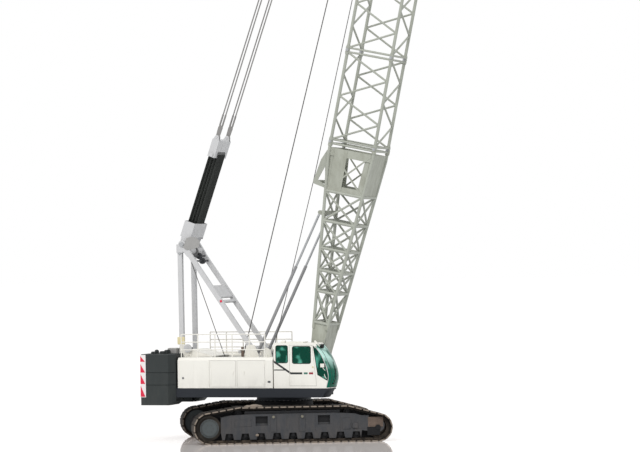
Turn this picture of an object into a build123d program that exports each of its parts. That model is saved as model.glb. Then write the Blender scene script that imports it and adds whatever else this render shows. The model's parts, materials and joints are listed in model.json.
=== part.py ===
from build123d import *
import os
from math import asin, atan2, cos, degrees, hypot, pi, radians, sin

# Crawler crane with a lattice boom, in millimetres.
# +X is the way the boom points, +Y is the crane's left side and +Z is up.
# The origin is on the ground under the swing axis, and the tracks stand turned below the upper works.

# Clearances
SEAT = 0.3
PIN_GAP = 0.6
RUNNING = 8.0

# Tracks and side frames, in the undercarriage's own axes (X along the tracks)
UNDER_TURN = 25.3
TRACK_LENGTH = 6500.0
TRACK_GAUGE = 4190.0
SHOE_WIDTH = 914.0
SHOE_THICK = 46.0
SHOE_PITCH = 250.0
SHOE_GAP = 16.0
LINK_WIDTH = 400.0
LINK_THICK = 70.0
DRIVE_RADIUS = 520.0
IDLER_RADIUS = 460.0
CARRIER_RADIUS = 230.0
CARRIER_X = 1780.0
CROWN_HEIGHT = 1200.0
ROLLER_RADIUS = 150.0
ROLLER_PITCH = 520.0
ROLLER_COUNT = 9
FRAME_WIDTH = 560.0
FRAME_PLATE = 30.0
FRAME_LOW = 345.0
FRAME_TOP = 960.0
RAIL_TOP = 1045.0
FRAME_REAR = 2350.0
FRAME_FRONT = 2260.0
SKIRT_LOW = 135.0
NOTCH_HEIGHT = 200.0
POCKET_X = 1020.0
POCKET_HALF = 200.0
POCKET_Z = (585.0, 885.0)
POCKET_DEPTH = 90.0
COLUMNS_X = (-640.0, 300.0)
COLUMN_HALF = 95.0
HUB_RADIUS = 310.0

# Carbody and swing bearing
CARBODY_LENGTH = 2500.0
CARBODY_WIDTH = 2300.0
CARBODY_LOW = 430.0
CARBODY_TOP = 1120.0
AXLE_X = 960.0
AXLE_WIDTH = 520.0
AXLE_LOW = 470.0
AXLE_TOP = 890.0
RING_RADIUS = 960.0
RING_BORE = 700.0
CARBODY_BORE = 380.0
RING_HEIGHT = 180.0

# Upper frame
FRAME_Z0 = 1446.0
DECK_Z = 1747.0
UPPER_HALF = 1550.0
UPPER_REAR = -3170.0
DECK_FRONT = 2030.0
FRONT_SLANT = 200.0
NOSE_X = 1500.0
BEAM_Y = 650.0
BEAM_PLATE = 50.0
BEAM_TOP = 2560.0

# Houses and service doors
HOUSE_INNER = 800.0
HOUSE_TOP = 2755.0
HOUSE_WALL = 40.0
HOUSE_EDGE = 90.0
RIGHT_HOUSE_FRONT = 140.0
LEFT_HOUSE_FRONT = 900.0
DOOR_THICK = 30.0
DOOR_GAP = 8.0
DOOR_LOW = 1790.0
DOOR_HIGH = 2650.0
DOORS_X = ((-2060.0, -1150.0), (-1090.0, -140.0))
LATCHES_X = (-1234.0, -855.0)
LATCH_Z = (2200.0, 2310.0)
HINGE_RADIUS = 9.0
KNUCKLE = 90.0
KNUCKLES_Z = (DOOR_LOW + 90.0, DOOR_HIGH - 200.0)

# Counterweight
WEIGHT_REAR = -4420.0
WEIGHT_FRONT = -3180.0
WEIGHT_HALF = 1750.0
WEIGHT_LEVELS = (1190.0, 1868.0, 2277.0, 2880.0)
WEIGHT_CORNER = 260.0
WEIGHT_REAR_CORNER = 50.0
WEIGHT_CHIN = (240.0, 160.0)
WEIGHT_EDGE = 25.0
LUG_BORE = 35.0

# Cab
CAB_RIGHT = -1550.0
CAB_LEFT = -680.0
CAB_REAR = RIGHT_HOUSE_FRONT + 40.0
CAB_WALL = 45.0
CAB_BULGE = 90.0
# The front edge of the cab's side, as height and X
CAB_SECTIONS = (
    (DECK_Z + SEAT, 2040.0), (1850.0, 2065.0), (2000.0, 2110.0), (2150.0, 2125.0), (2350.0, 2095.0),
    (2580.0, 2010.0), (2810.0, 1900.0), (3010.0, 1765.0), (3140.0, 1665.0), (3225.0, 1580.0))
CAB_DOOR_REAR = 730.0
CAB_DOOR_FRONT = (1650.0, 1500.0)
CAB_DOOR_Z = (1830.0, 3150.0)
CAB_DOOR_PANE = ((826.0, 1454.0), (2555.0, 3118.0))
CAB_KNUCKLES_Z = (1960.0, 2850.0)
REAR_PANE = ((255.0, 665.0), (2578.0, 3145.0))
QUARTER_PANE = (
    (1540.0, 3135.0), (1680.0, 3007.0), (1820.0, 2810.0), (1920.0, 2582.0),
    (1990.0, 2353.0), (2040.0, 2124.0), (2020.0, 2000.0), (1690.0, 2190.0))
SCREEN_Z = (1870.0, 3165.0)
PANE_CORNER = 60.0
GLASS_INSET = 14.0
GLASS_THICK = 8.0

# Boom
FOOT = (1180.0, 2210.0)
BOOM_LEAN = 11.84
SECTION = 1524.0
BUTT_LENGTH = 7620.0
INSERT_LENGTHS = (3048.0, 6096.0, 12192.0)
TIP_LENGTH = 7620.0
BOOM_LENGTH = BUTT_LENGTH + sum(INSERT_LENGTHS) + TIP_LENGTH
CHORD_RADIUS = 52.0
LACING = 66.0
STATION = 762.0
FOOT_DEPTH = 190.0
FOOT_WIDTH = 1080.0
TAPER_TOP = BUTT_LENGTH - 370.0
FOOT_PLATES = 1670.0
RING_PLATE = (BUTT_LENGTH - 1620.0, BUTT_LENGTH - 190.0)
BUTT_STATIONS = (FOOT_PLATES, 2700.0, 3390.0, 4120.0, 5020.0, RING_PLATE[0])
STATION_TUBE = 96.0
# The rope guide: its roller, and how far its plates and their opening stand behind the ring, with the height on it
ROPE_GUIDE = (-1080.0, RING_PLATE[0] + 215.0)
GUIDE_Y = (640.0, 664.0)
GUIDE_OUTLINE = (
    (0.0, 65.0), (431.0, 140.0), (470.0, 190.0), (460.0, 255.0), (276.0, 970.0), (102.0, 1304.0), (0.0, 1350.0))
GUIDE_OPENING = ((112.0, 772.0), (306.0, 300.0), (43.0, 156.0))
BOOM_PIN = 45.0

# Stay system
GANTRY_PIN = (-3270.0, 6500.0)
STAY_SET = 1050.0
STAY_BELOW_TOP = 576.0
STAY_REACH = BOOM_LENGTH - STAY_BELOW_TOP
BRIDLE_AT = 3030.0
BRIDLE_LENGTH = 640.0
BRIDLE_WIDTH = 1180.0
ROPE_RADIUS = 13.0
REEVING_SHEAVE = 140.0
REEVING_STEP = 120.0
BOX_HALF = REEVING_SHEAVE - ROPE_RADIUS - 5.0
PENDANT_RADIUS = 16.0
PENDANT_Y = 500.0

# Gantry
MAST_FOOT = (-450.0, 2450.0)
MAST_HALF = (720.0, 680.0)
MAST_SIZE = (120.0, 150.0)
MAST_PLATES = ((0.14, 160.0), (0.535, 80.0), (0.615, 470.0))
LEG_X = (-3320.0, -3400.0)
LEG_HALF = 640.0
LEG_SIZE = 150.0
LEG_TOP = 6220.0

# Backstops
BACKSTOP_BASE = (-750.0, 2800.0)
BACKSTOP_EYE = (-756.0, 5246.0)
BACKSTOP_Y = 520.0
BARREL_LENGTH = 3250.0
BARREL_RADIUS = 52.0
BARREL_WALL = 8.0
BACKSTOP_ROD = 38.0

# Winch drums: X, Z, drum radius, flange radius
DRUMS = {
    "front_drum": (-200.0, 2290.0, 240.0, 400.0),
    "rear_drum": (-1250.0, 2290.0, 240.0, 360.0),
    "boom_hoist_drum": (-2200.0, 2290.0, 200.0, 340.0),
}
DRUM_HALF = 540.0

# Boom head, falls and hook
AXLE_BELOW_TOP = 96.0
HEAD_AXLE = (950.0, BOOM_LENGTH - AXLE_BELOW_TOP)
HEAD_SHEAVE = 360.0
HEAD_SHEAVE_Y = (-270.0, -90.0, 90.0, 270.0)
FALL_LENGTH = 5600.0
FALL_Y = 90.0
THROAT = 110.0


def block(x, y, z):
    """A box between a low and a high value on each axis."""
    centre = Pos((x[0] + x[1]) / 2, (y[0] + y[1]) / 2, (z[0] + z[1]) / 2)
    return centre * Box(x[1] - x[0], y[1] - y[0], z[1] - z[0])


def rod(start, end, radius):
    """A round bar from one point to another."""
    start, end = Vector(*start), Vector(*end)
    return Solid.make_cylinder(radius, (end - start).length, Plane(origin=start, z_dir=end - start))


def bar(start, end, across, deep):
    """A bar of rectangular section: across lies along Y, deep lies in the plane of X and Z."""
    start, end = Vector(*start), Vector(*end)
    along = (end - start).normalized()
    side = Vector(0, 1, 0) - along * along.Y
    plane = Plane(origin=start, x_dir=side, z_dir=along)
    return extrude(plane * Rectangle(across, deep), (end - start).length)


def flats(start, end, radius, sides, turn=0.0):
    """A bar with flats, for the long thin tubes of the lattice."""
    start, end = Vector(*start), Vector(*end)
    along = (end - start).normalized()
    side = Vector(1, 0, 0) - along * along.X
    if side.length < 0.2:
        side = Vector(0, 1, 0) - along * along.Y
    plane = Plane(origin=start, x_dir=side, z_dir=along)
    return extrude(plane * RegularPolygon(radius, sides, rotation=turn), (end - start).length)


def plate(points, y):
    """A plate with its outline in X and Z, between two values of Y."""
    face = Face(Wire.make_polygon([(px, y[0], pz) for px, pz in points], close=True))
    return Solid.extrude(face, Vector(0, y[1] - y[0], 0))


def boss(x, z, y, radius):
    """A round piece whose axis is parallel to Y."""
    return Solid.make_cylinder(radius, y[1] - y[0], Plane(origin=(x, y[0], z), z_dir=(0, 1, 0)))


def upright(x, y, z, radius):
    """A round piece whose axis is parallel to Z."""
    return Pos(x, y, z[0]) * Solid.make_cylinder(radius, z[1] - z[0])


def tapered_arm(a, radius_a, b, radius_b, y):
    """Two rounds in X and Z joined by their outer tangents, as on a forged eye."""
    run = atan2(b[1] - a[1], b[0] - a[0])
    lean = asin((radius_a - radius_b) / hypot(b[0] - a[0], b[1] - a[1]))
    points = []
    for centre, radius, sign in ((a, radius_a, 1), (b, radius_b, 1), (b, radius_b, -1), (a, radius_a, -1)):
        angle = run + sign * (pi / 2 - lean)
        points.append((centre[0] + radius * cos(angle), centre[1] + radius * sin(angle)))
    return plate(points, y) + boss(a[0], a[1], y, radius_a) + boss(b[0], b[1], y, radius_b)


def fused(pieces):
    """One solid from pieces that meet."""
    pieces = list(pieces)
    return pieces[0].fuse(*pieces[1:]) if len(pieces) > 1 else pieces[0]


def mirrored(shape):
    """The same piece on the crane's other side."""
    return mirror(shape, Plane.XZ)


def save(name, *shapes):
    """Write one node, made of one or more solids."""
    solids = [solid for shape in shapes for solid in shape.solids()]
    os.makedirs("parts", exist_ok=True)
    export_step(Compound(children=solids), f"parts/{name}.step")
    print(name, len(solids))


# Undercarriage

def belt():
    """The track's outer line as straight and round pieces, going round with the ground side last."""
    wheels = (
        (TRACK_LENGTH / 2 - IDLER_RADIUS, IDLER_RADIUS, IDLER_RADIUS),
        (CARRIER_X, CROWN_HEIGHT - CARRIER_RADIUS, CARRIER_RADIUS),
        (-CARRIER_X, CROWN_HEIGHT - CARRIER_RADIUS, CARRIER_RADIUS),
        (DRIVE_RADIUS - TRACK_LENGTH / 2, DRIVE_RADIUS, DRIVE_RADIUS),
    )
    angles = []
    for here, there in zip(wheels, wheels[1:] + wheels[:1]):
        run = atan2(there[1] - here[1], there[0] - here[0])
        lean = asin((there[2] - here[2]) / hypot(there[0] - here[0], there[1] - here[1]))
        angles.append(run - pi / 2 - lean)
    pieces = []
    for index, (x, z, radius) in enumerate(wheels):
        start = angles[index - 1]
        end = angles[index]
        while end < start:
            end += 2 * pi
        pieces.append(("arc", x, z, radius, start, end))
        after = wheels[(index + 1) % len(wheels)]
        here = (x + radius * cos(end), z + radius * sin(end))
        there = (after[0] + after[2] * cos(end), after[1] + after[2] * sin(end))
        pieces.append(("line", here, there))
    return pieces


def belt_point(pieces, distance):
    """The point and outward angle at a distance along the belt."""
    for piece in pieces:
        if piece[0] == "arc":
            _, x, z, radius, start, end = piece
            length = radius * (end - start)
            if distance <= length:
                angle = start + distance / radius
                return x + radius * cos(angle), z + radius * sin(angle), angle
        else:
            _, here, there = piece
            length = hypot(there[0] - here[0], there[1] - here[1])
            if distance <= length:
                share = distance / length
                angle = atan2(there[1] - here[1], there[0] - here[0]) - pi / 2
                x = here[0] + share * (there[0] - here[0])
                return x, here[1] + share * (there[1] - here[1]), angle
        distance -= length
    raise ValueError("the distance is longer than the belt")


def belt_length(pieces):
    total = 0.0
    for piece in pieces:
        if piece[0] == "arc":
            total += piece[3] * (piece[5] - piece[4])
        else:
            total += hypot(piece[2][0] - piece[1][0], piece[2][1] - piece[1][1])
    return total


def belt_face(pieces, inset, y):
    """The area inside the belt, drawn in by an inset, at one value of Y."""
    edges = []
    for piece in pieces:
        if piece[0] == "arc":
            _, x, z, radius, start, end = piece
            middle = (start + end) / 2
            points = [(x + (radius - inset) * cos(a), y, z + (radius - inset) * sin(a)) for a in (start, middle, end)]
            edges.append(Edge.make_three_point_arc(*points))
        else:
            _, here, there = piece
            angle = atan2(there[1] - here[1], there[0] - here[0]) - pi / 2
            shift = (-inset * cos(angle), -inset * sin(angle))
            ends = [(p[0] + shift[0], y, p[1] + shift[1]) for p in (here, there)]
            edges.append(Edge.make_line(*ends))
    return Face(Wire(edges))


def track(side_y):
    """One loop of flat shoes on its link rails, as one solid."""
    pieces = belt()
    low = side_y - LINK_WIDTH / 2
    outer = Solid.extrude(belt_face(pieces, SHOE_THICK - 6, low), Vector(0, LINK_WIDTH, 0))
    inner = Solid.extrude(belt_face(pieces, SHOE_THICK + LINK_THICK, low - 5), Vector(0, LINK_WIDTH + 10, 0))
    links = outer - inner
    length = belt_length(pieces)
    count = round(length / SHOE_PITCH)
    half = (length / count - SHOE_GAP) / 2
    outline = ((-half, -SHOE_THICK), (half, -SHOE_THICK), (half, -16), (half - 26, 0), (26 - half, 0), (-half, -16))
    shoes = []
    for index in range(count):
        x, z, angle = belt_point(pieces, (index + 0.5) * length / count)
        turn = angle - pi / 2
        points = [(x + px * cos(turn) - pz * sin(turn), z + px * sin(turn) + pz * cos(turn)) for px, pz in outline]
        shoes.append(plate(points, (side_y - SHOE_WIDTH / 2, side_y + SHOE_WIDTH / 2)))
    return fused([links] + shoes)


ROLLERS_X = [(i - (ROLLER_COUNT - 1) / 2) * ROLLER_PITCH for i in range(ROLLER_COUNT)]
TRACK_INSIDE = SHOE_THICK + LINK_THICK
ROLLER_Z = TRACK_INSIDE + SEAT + ROLLER_RADIUS
CARRIER_INNER = CARRIER_RADIUS - TRACK_INSIDE - SEAT
CARRIER_Z = CROWN_HEIGHT - CARRIER_RADIUS
DRIVE_X = DRIVE_RADIUS - TRACK_LENGTH / 2
IDLER_X = TRACK_LENGTH / 2 - IDLER_RADIUS


def side_frame():
    """The left track frame: a box beam with a notched skirt, pockets, an idler yoke and a drive bracket."""
    middle = TRACK_GAUGE / 2
    inner, outer = middle - FRAME_WIDTH / 2, middle + FRAME_WIDTH / 2
    beam = plate((
        (-FRAME_REAR, FRAME_LOW), (FRAME_FRONT, FRAME_LOW), (FRAME_FRONT, FRAME_TOP - 110),
        (CARRIER_X + 260, FRAME_TOP - 40), (CARRIER_X - 420, FRAME_TOP), (420 - CARRIER_X, FRAME_TOP),
        (-CARRIER_X - 260, FRAME_TOP - 30), (-FRAME_REAR, FRAME_TOP - 90)), (inner, outer))
    for x in (-CARRIER_X, CARRIER_X):
        slot = block((x - 190, x + 190), (middle - 215, middle + 215), (CARRIER_Z - 175, FRAME_TOP + 50))
        beam = beam - slot
    channel = block((ROLLERS_X[0] - 170, ROLLERS_X[-1] + 170), (middle - 215, middle + 215),
                    (SKIRT_LOW, ROLLER_Z + ROLLER_RADIUS + RUNNING))
    beam = beam - channel
    skirt_points = [(-FRAME_REAR, FRAME_LOW), (40 - FRAME_REAR, SKIRT_LOW)]
    for x in ROLLERS_X:
        for dx, z in ((-ROLLER_RADIUS, SKIRT_LOW), (40 - ROLLER_RADIUS, SKIRT_LOW + NOTCH_HEIGHT),
                      (ROLLER_RADIUS - 40, SKIRT_LOW + NOTCH_HEIGHT), (ROLLER_RADIUS, SKIRT_LOW)):
            skirt_points.append((x + dx, z))
    skirt_points.append((FRAME_FRONT, FRAME_LOW))
    skirt_points.append((FRAME_FRONT, FRAME_LOW + 20))
    skirt_points.append((-FRAME_REAR, FRAME_LOW + 20))
    skirts = [plate(skirt_points, y) for y in ((inner, inner + FRAME_PLATE), (outer - FRAME_PLATE, outer))]
    yokes = []
    yoke_root = (FRAME_FRONT - 310, (FRAME_LOW + FRAME_TOP) / 2)
    for y in ((inner, inner + 60), (outer - 60, outer)):
        yokes.append(tapered_arm(yoke_root, 240, (IDLER_X, IDLER_RADIUS + 60), 220, y))
    bracket = tapered_arm((260 - FRAME_REAR, 560), 215, (DRIVE_X, DRIVE_RADIUS), 250, (inner, inner + 70))
    rail = block((220 - CARRIER_X, CARRIER_X - 220), (middle - 140, middle + 140), (FRAME_TOP - 10, RAIL_TOP))
    body = fused([beam, rail] + skirts + yokes + [bracket])
    for x in (-POCKET_X, POCKET_X):
        body = body - block((x - POCKET_HALF, x + POCKET_HALF), (outer - POCKET_DEPTH, outer + 10), POCKET_Z)
    columns = [block((x - COLUMN_HALF, x + COLUMN_HALF), (outer - 5, outer + 22), (FRAME_LOW + 30, FRAME_TOP - 40))
               for x in COLUMNS_X]
    body = fused([body] + columns) - boss(DRIVE_X, DRIVE_RADIUS, (middle - 200, middle + 200), DRIVE_RADIUS - 90)
    for x in ROLLERS_X:
        body = body - boss(x, ROLLER_Z, (inner - 5, outer + 5), 40 + SEAT)
    for x in (-CARRIER_X, CARRIER_X):
        body = body - boss(x, CARRIER_Z, (middle - 260, middle + 260), 40 + SEAT)
    body = body - boss(IDLER_X, IDLER_RADIUS, (inner - 5, outer + 5), 55 + SEAT)
    return body - boss(DRIVE_X, DRIVE_RADIUS, (inner - 5, inner + 75), 140 + SEAT)


def rollers():
    """The left side's flanged lower rollers and carrier rollers on their shafts."""
    middle = TRACK_GAUGE / 2
    solids = []
    for x in ROLLERS_X:
        wheel = boss(x, ROLLER_Z, (middle - 190, middle + 190), ROLLER_RADIUS - 25)
        treads = [boss(x, ROLLER_Z, y, ROLLER_RADIUS) for y in ((middle - 190, middle - 60), (middle + 60, middle + 190))]
        shaft = boss(x, ROLLER_Z, (middle - FRAME_WIDTH / 2 - 12, middle + FRAME_WIDTH / 2 + 12), 40)
        solids.append(fused([wheel, shaft] + treads))
    for x in (-CARRIER_X, CARRIER_X):
        wheel = boss(x, CARRIER_Z, (middle - 180, middle + 180), CARRIER_INNER)
        solids.append(wheel + boss(x, CARRIER_Z, (middle - 250, middle + 250), 40))
    return solids


def sprocket():
    """The left drive sprocket with its final drive housing, cover and axle."""
    middle = TRACK_GAUGE / 2
    wheel_radius = DRIVE_RADIUS - TRACK_INSIDE - SEAT
    discs = [boss(DRIVE_X, DRIVE_RADIUS, y, wheel_radius)
             for y in ((middle - 190, middle - 110), (middle + 110, middle + 190))]
    drum = boss(DRIVE_X, DRIVE_RADIUS, (middle - 190, middle + 250), HUB_RADIUS - 30)
    cover = boss(DRIVE_X, DRIVE_RADIUS, (middle + 190, middle + FRAME_WIDTH / 2 + 40), HUB_RADIUS)
    cap = boss(DRIVE_X, DRIVE_RADIUS, (middle + 300, middle + FRAME_WIDTH / 2 + 75), HUB_RADIUS - 60)
    axle = boss(DRIVE_X, DRIVE_RADIUS, (middle - FRAME_WIDTH / 2 - 60, middle), 140)
    return fused(discs + [drum, cover, cap, axle])


def idler():
    """The left idler wheel: a rimmed wheel with a plain web."""
    middle = TRACK_GAUGE / 2
    rim = IDLER_RADIUS - TRACK_INSIDE - SEAT
    wheel = boss(IDLER_X, IDLER_RADIUS, (middle - 190, middle + 190), rim)
    for y in ((middle - 195, middle - 40), (middle + 40, middle + 195)):
        ring = boss(IDLER_X, IDLER_RADIUS, y, rim - 55) - boss(IDLER_X, IDLER_RADIUS, y, 120)
        wheel = wheel - ring
    return wheel + boss(IDLER_X, IDLER_RADIUS, (middle - FRAME_WIDTH / 2 - 15, middle + FRAME_WIDTH / 2 + 15), 55)


def carbody():
    """The central box with its cross beams and the seat of the swing bearing."""
    box = block((-CARBODY_LENGTH / 2, CARBODY_LENGTH / 2), (-CARBODY_WIDTH / 2, CARBODY_WIDTH / 2),
                (CARBODY_LOW, CARBODY_TOP - 120))
    box = chamfer(box.edges().filter_by(Axis.Z), 480)
    seat = upright(0, 0, (CARBODY_TOP - 130, CARBODY_TOP), RING_RADIUS + 40)
    reach = TRACK_GAUGE / 2 - FRAME_WIDTH / 2 - SEAT
    beams = []
    for x in (-AXLE_X, AXLE_X):
        beams.append(block((x - AXLE_WIDTH / 2, x + AXLE_WIDTH / 2), (-reach, reach), (AXLE_LOW, AXLE_TOP)))
        for side in (-1, 1):
            y = sorted((side * (reach - 40), side * reach))
            beams.append(block((x - AXLE_WIDTH / 2 - 60, x + AXLE_WIDTH / 2 + 60), y, (AXLE_LOW - 50, AXLE_TOP - 20)))
    body = fused([box, seat] + beams)
    return body - upright(0, 0, (CARBODY_LOW - 10, CARBODY_TOP + 10), CARBODY_BORE)


def swing_ring():
    """The fixed half of the swing bearing."""
    level = (CARBODY_TOP + SEAT, CARBODY_TOP + RING_HEIGHT)
    ring = upright(0, 0, level, RING_RADIUS) - upright(0, 0, (level[0] - 5, level[1] + 5), RING_BORE)
    return chamfer(ring.edges().group_by(Axis.Z)[-1], 20)


def under(shape):
    """A piece of the undercarriage, turned to where the tracks stand."""
    return Rot(0, 0, UNDER_TURN) * shape


def build_undercarriage():
    save("carbody", under(carbody()))
    save("swing_ring", under(swing_ring()))
    left_frame = side_frame()
    save("side_frame_left", under(left_frame))
    save("side_frame_right", under(mirrored(left_frame)))
    left_track = track(TRACK_GAUGE / 2)
    save("track_left", under(left_track))
    save("track_right", under(mirrored(left_track)))
    for name, left in (("rollers", rollers()), ("drive_sprockets", [sprocket()]), ("idlers", [idler()])):
        save(name, *[under(piece) for piece in left], *[under(mirrored(piece)) for piece in left])


# Upper frame, houses and counterweight

def front_skirt():
    """The bowed plate under the cab that closes the frame's front and leans back downwards."""
    rings = []
    for z, front in ((FRAME_Z0, DECK_FRONT - FRONT_SLANT), (DECK_Z, DECK_FRONT)):
        rings.append(Wire([
            Edge.make_three_point_arc((front, -UPPER_HALF, z), (front + CAB_BULGE, (CAB_LEFT - UPPER_HALF) / 2, z),
                                      (front, CAB_LEFT, z)),
            Edge.make_line((front, CAB_LEFT, z), (front - 60, CAB_LEFT, z)),
            Edge.make_line((front - 60, CAB_LEFT, z), (front - 60, -UPPER_HALF, z)),
            Edge.make_line((front - 60, -UPPER_HALF, z), (front, -UPPER_HALF, z)),
        ]))
    return Solid.make_loft(rings, ruled=True)


def upper_frame():
    """The deck with its skirts, the two beam plates that carry the boom, drums and gantry, and the race."""
    outline = (
        (UPPER_REAR - 60, -UPPER_HALF), (DECK_FRONT, -UPPER_HALF), (DECK_FRONT, CAB_LEFT + 20),
        (NOSE_X, CAB_LEFT + 20), (NOSE_X, BEAM_Y + 120), (LEFT_HOUSE_FRONT, BEAM_Y + 120),
        (LEFT_HOUSE_FRONT, UPPER_HALF), (UPPER_REAR - 60, UPPER_HALF))
    face = Face(Wire.make_polygon([(x, y, DECK_Z - 60) for x, y in outline], close=True))
    pieces = [Solid.extrude(face, Vector(0, 0, 60))]
    pieces.append(front_skirt())
    for y in ((-UPPER_HALF, -UPPER_HALF + 60), (CAB_LEFT - 60, CAB_LEFT)):
        pieces.append(plate(((UPPER_REAR - 60, FRAME_Z0), (DECK_FRONT - FRONT_SLANT, FRAME_Z0), (DECK_FRONT, DECK_Z - 10),
                             (UPPER_REAR - 60, DECK_Z - 10)), y))
    pieces.append(block((UPPER_REAR - 60, LEFT_HOUSE_FRONT), (UPPER_HALF - 60, UPPER_HALF), (FRAME_Z0, DECK_Z - 10)))
    pieces.append(block((UPPER_REAR - 60, NOSE_X), (BEAM_Y - 40, BEAM_Y + 60), (FRAME_Z0, DECK_Z - 10)))
    for x in (UPPER_REAR - 60, RIGHT_HOUSE_FRONT):
        pieces.append(block((x, x + 60), (-UPPER_HALF + 10, UPPER_HALF - 10), (FRAME_Z0, DECK_Z - 10)))
    pieces.append(block((-1250, 1250), (-BEAM_Y, BEAM_Y), (FRAME_Z0, FRAME_Z0 + 60)))
    race_low = CARBODY_TOP + RING_HEIGHT + SEAT
    race = upright(0, 0, (race_low, FRAME_Z0 + 10), RING_RADIUS - 60) - upright(0, 0, (race_low - 5, FRAME_Z0 + 20), RING_BORE)
    pieces.append(race)
    tail = [block((WEIGHT_REAR + 460, UPPER_REAR), y, (FRAME_Z0, DECK_Z - 147))
            for y in ((-BEAM_Y, -BEAM_Y + 140), (BEAM_Y - 140, BEAM_Y))]
    pieces += tail
    for side in (-1, 1):
        y = sorted((side * BEAM_Y, side * (BEAM_Y - BEAM_PLATE)))
        pieces.append(plate((
            (UPPER_REAR - 60, DECK_Z - 10), (NOSE_X, DECK_Z - 10), (NOSE_X, 2100), (FOOT[0] + 150, 2400),
            (FOOT[0] - 200, 2400), (300, 2330), (-200, BEAM_TOP), (-1900, BEAM_TOP), (-2700, 2400),
            (UPPER_REAR + 350, 2250), (UPPER_REAR + 60, 2250), (UPPER_REAR - 60, 2250)), y))
    frame = fused(pieces)
    for x, z, _, _ in DRUMS.values():
        frame = frame - boss(x, z, (-BEAM_Y - 5, BEAM_Y + 5), 60 + PIN_GAP)
    return frame - boss(FOOT[0], FOOT[1], (-BEAM_Y - 5, BEAM_Y + 5), BOOM_PIN + SEAT)


def foot_brackets():
    """Inner ears and pins that hold the boom's feet, and the ears of the backstops."""
    pieces = []
    lug = foot_lug_y()
    for side in (-1, 1):
        ear_y = sorted((side * (lug[0] - RUNNING - 50), side * (lug[0] - RUNNING)))
        ear = plate(((FOOT[0] - 330, DECK_Z + SEAT), (NOSE_X - 40, DECK_Z + SEAT), (FOOT[0] + 120, FOOT[1] + 60),
                     (FOOT[0], FOOT[1] + 130), (FOOT[0] - 130, FOOT[1] + 40)), ear_y)
        pin_y = sorted((side * (lug[0] - RUNNING - 70), side * (BEAM_Y + 30)))
        pieces.append(ear + boss(FOOT[0], FOOT[1], pin_y, BOOM_PIN))
    return pieces


def foot_lug_y():
    """The near and far side of a boom foot's lug, measured from the middle."""
    outside = BEAM_Y - BEAM_PLATE - RUNNING
    return outside - 110, outside


def house(front):
    """A left-hand house: a shell with doors, a bevelled roof edge and louvres, open at the bottom."""
    low = DECK_Z + SEAT
    outline = ((HOUSE_INNER, low), (UPPER_HALF, low), (UPPER_HALF, HOUSE_TOP - HOUSE_EDGE),
               (UPPER_HALF - HOUSE_EDGE, HOUSE_TOP), (HOUSE_INNER, HOUSE_TOP))
    inset = ((HOUSE_INNER + HOUSE_WALL, low - 5), (UPPER_HALF - HOUSE_WALL, low - 5),
             (UPPER_HALF - HOUSE_WALL, HOUSE_TOP - HOUSE_EDGE - 15),
             (UPPER_HALF - HOUSE_EDGE - 15, HOUSE_TOP - HOUSE_WALL), (HOUSE_INNER + HOUSE_WALL, HOUSE_TOP - HOUSE_WALL))
    shells = []
    for points, x in ((outline, (UPPER_REAR, front)), (inset, (UPPER_REAR + HOUSE_WALL, front - HOUSE_WALL))):
        face = Face(Wire.make_polygon([(x[0], y, z) for y, z in points], close=True))
        shells.append(Solid.extrude(face, Vector(x[1] - x[0], 0, 0)))
    shell = shells[0] - shells[1]
    for x0, x1 in DOORS_X:
        opening = block((x0 - DOOR_GAP, x1 + DOOR_GAP), (UPPER_HALF - HOUSE_WALL - 5, UPPER_HALF + 5),
                        (DOOR_LOW - DOOR_GAP, DOOR_HIGH + DOOR_GAP))
        shell = shell - opening
    knuckles = []
    for (x0, x1), hinge_at, outward in zip(DOORS_X, (DOORS_X[0][0], DOORS_X[1][1]), (-1, 1)):
        knuckles += [door_knuckle(hinge_at, outward, z + KNUCKLE + SEAT) for z in KNUCKLES_Z]
    return fused([shell] + knuckles)


def louvres(x):
    """Slots in a left-hand house wall, one above the other."""
    return [block((x, x + 560), (UPPER_HALF - HOUSE_WALL - 5, UPPER_HALF + 5), (z, z + 26))
            for z in range(1930, 2600, 80)]


def service_door(x0, x1, hinge_at, latch_x):
    """A left-hand service door with its handle and hinge barrels."""
    panel = block((x0, x1), (UPPER_HALF - DOOR_THICK, UPPER_HALF), (DOOR_LOW, DOOR_HIGH))
    recess = block((x0 + 70, x1 - 70), (UPPER_HALF - 4, UPPER_HALF + 5), (DOOR_LOW + 70, DOOR_HIGH - 70))
    panel = panel - recess
    handle = block((latch_x - 14, latch_x + 14), (UPPER_HALF - 8, UPPER_HALF + 16), LATCH_Z)
    inward = 1 if hinge_at < (x0 + x1) / 2 else -1
    return fused([panel, handle] + [door_knuckle(hinge_at, inward, z) for z in KNUCKLES_Z])


def door_knuckle(hinge_at, inward, z):
    """Half a hinge on a left-hand wall: a barrel with its leaf, which points inward or outward of the door."""
    barrel = upright(hinge_at, UPPER_HALF + HINGE_RADIUS, (z, z + KNUCKLE), HINGE_RADIUS)
    x = sorted((hinge_at, hinge_at + inward * 45))
    return barrel + block(x, (UPPER_HALF - 4, UPPER_HALF + HINGE_RADIUS), (z, z + KNUCKLE))


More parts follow.
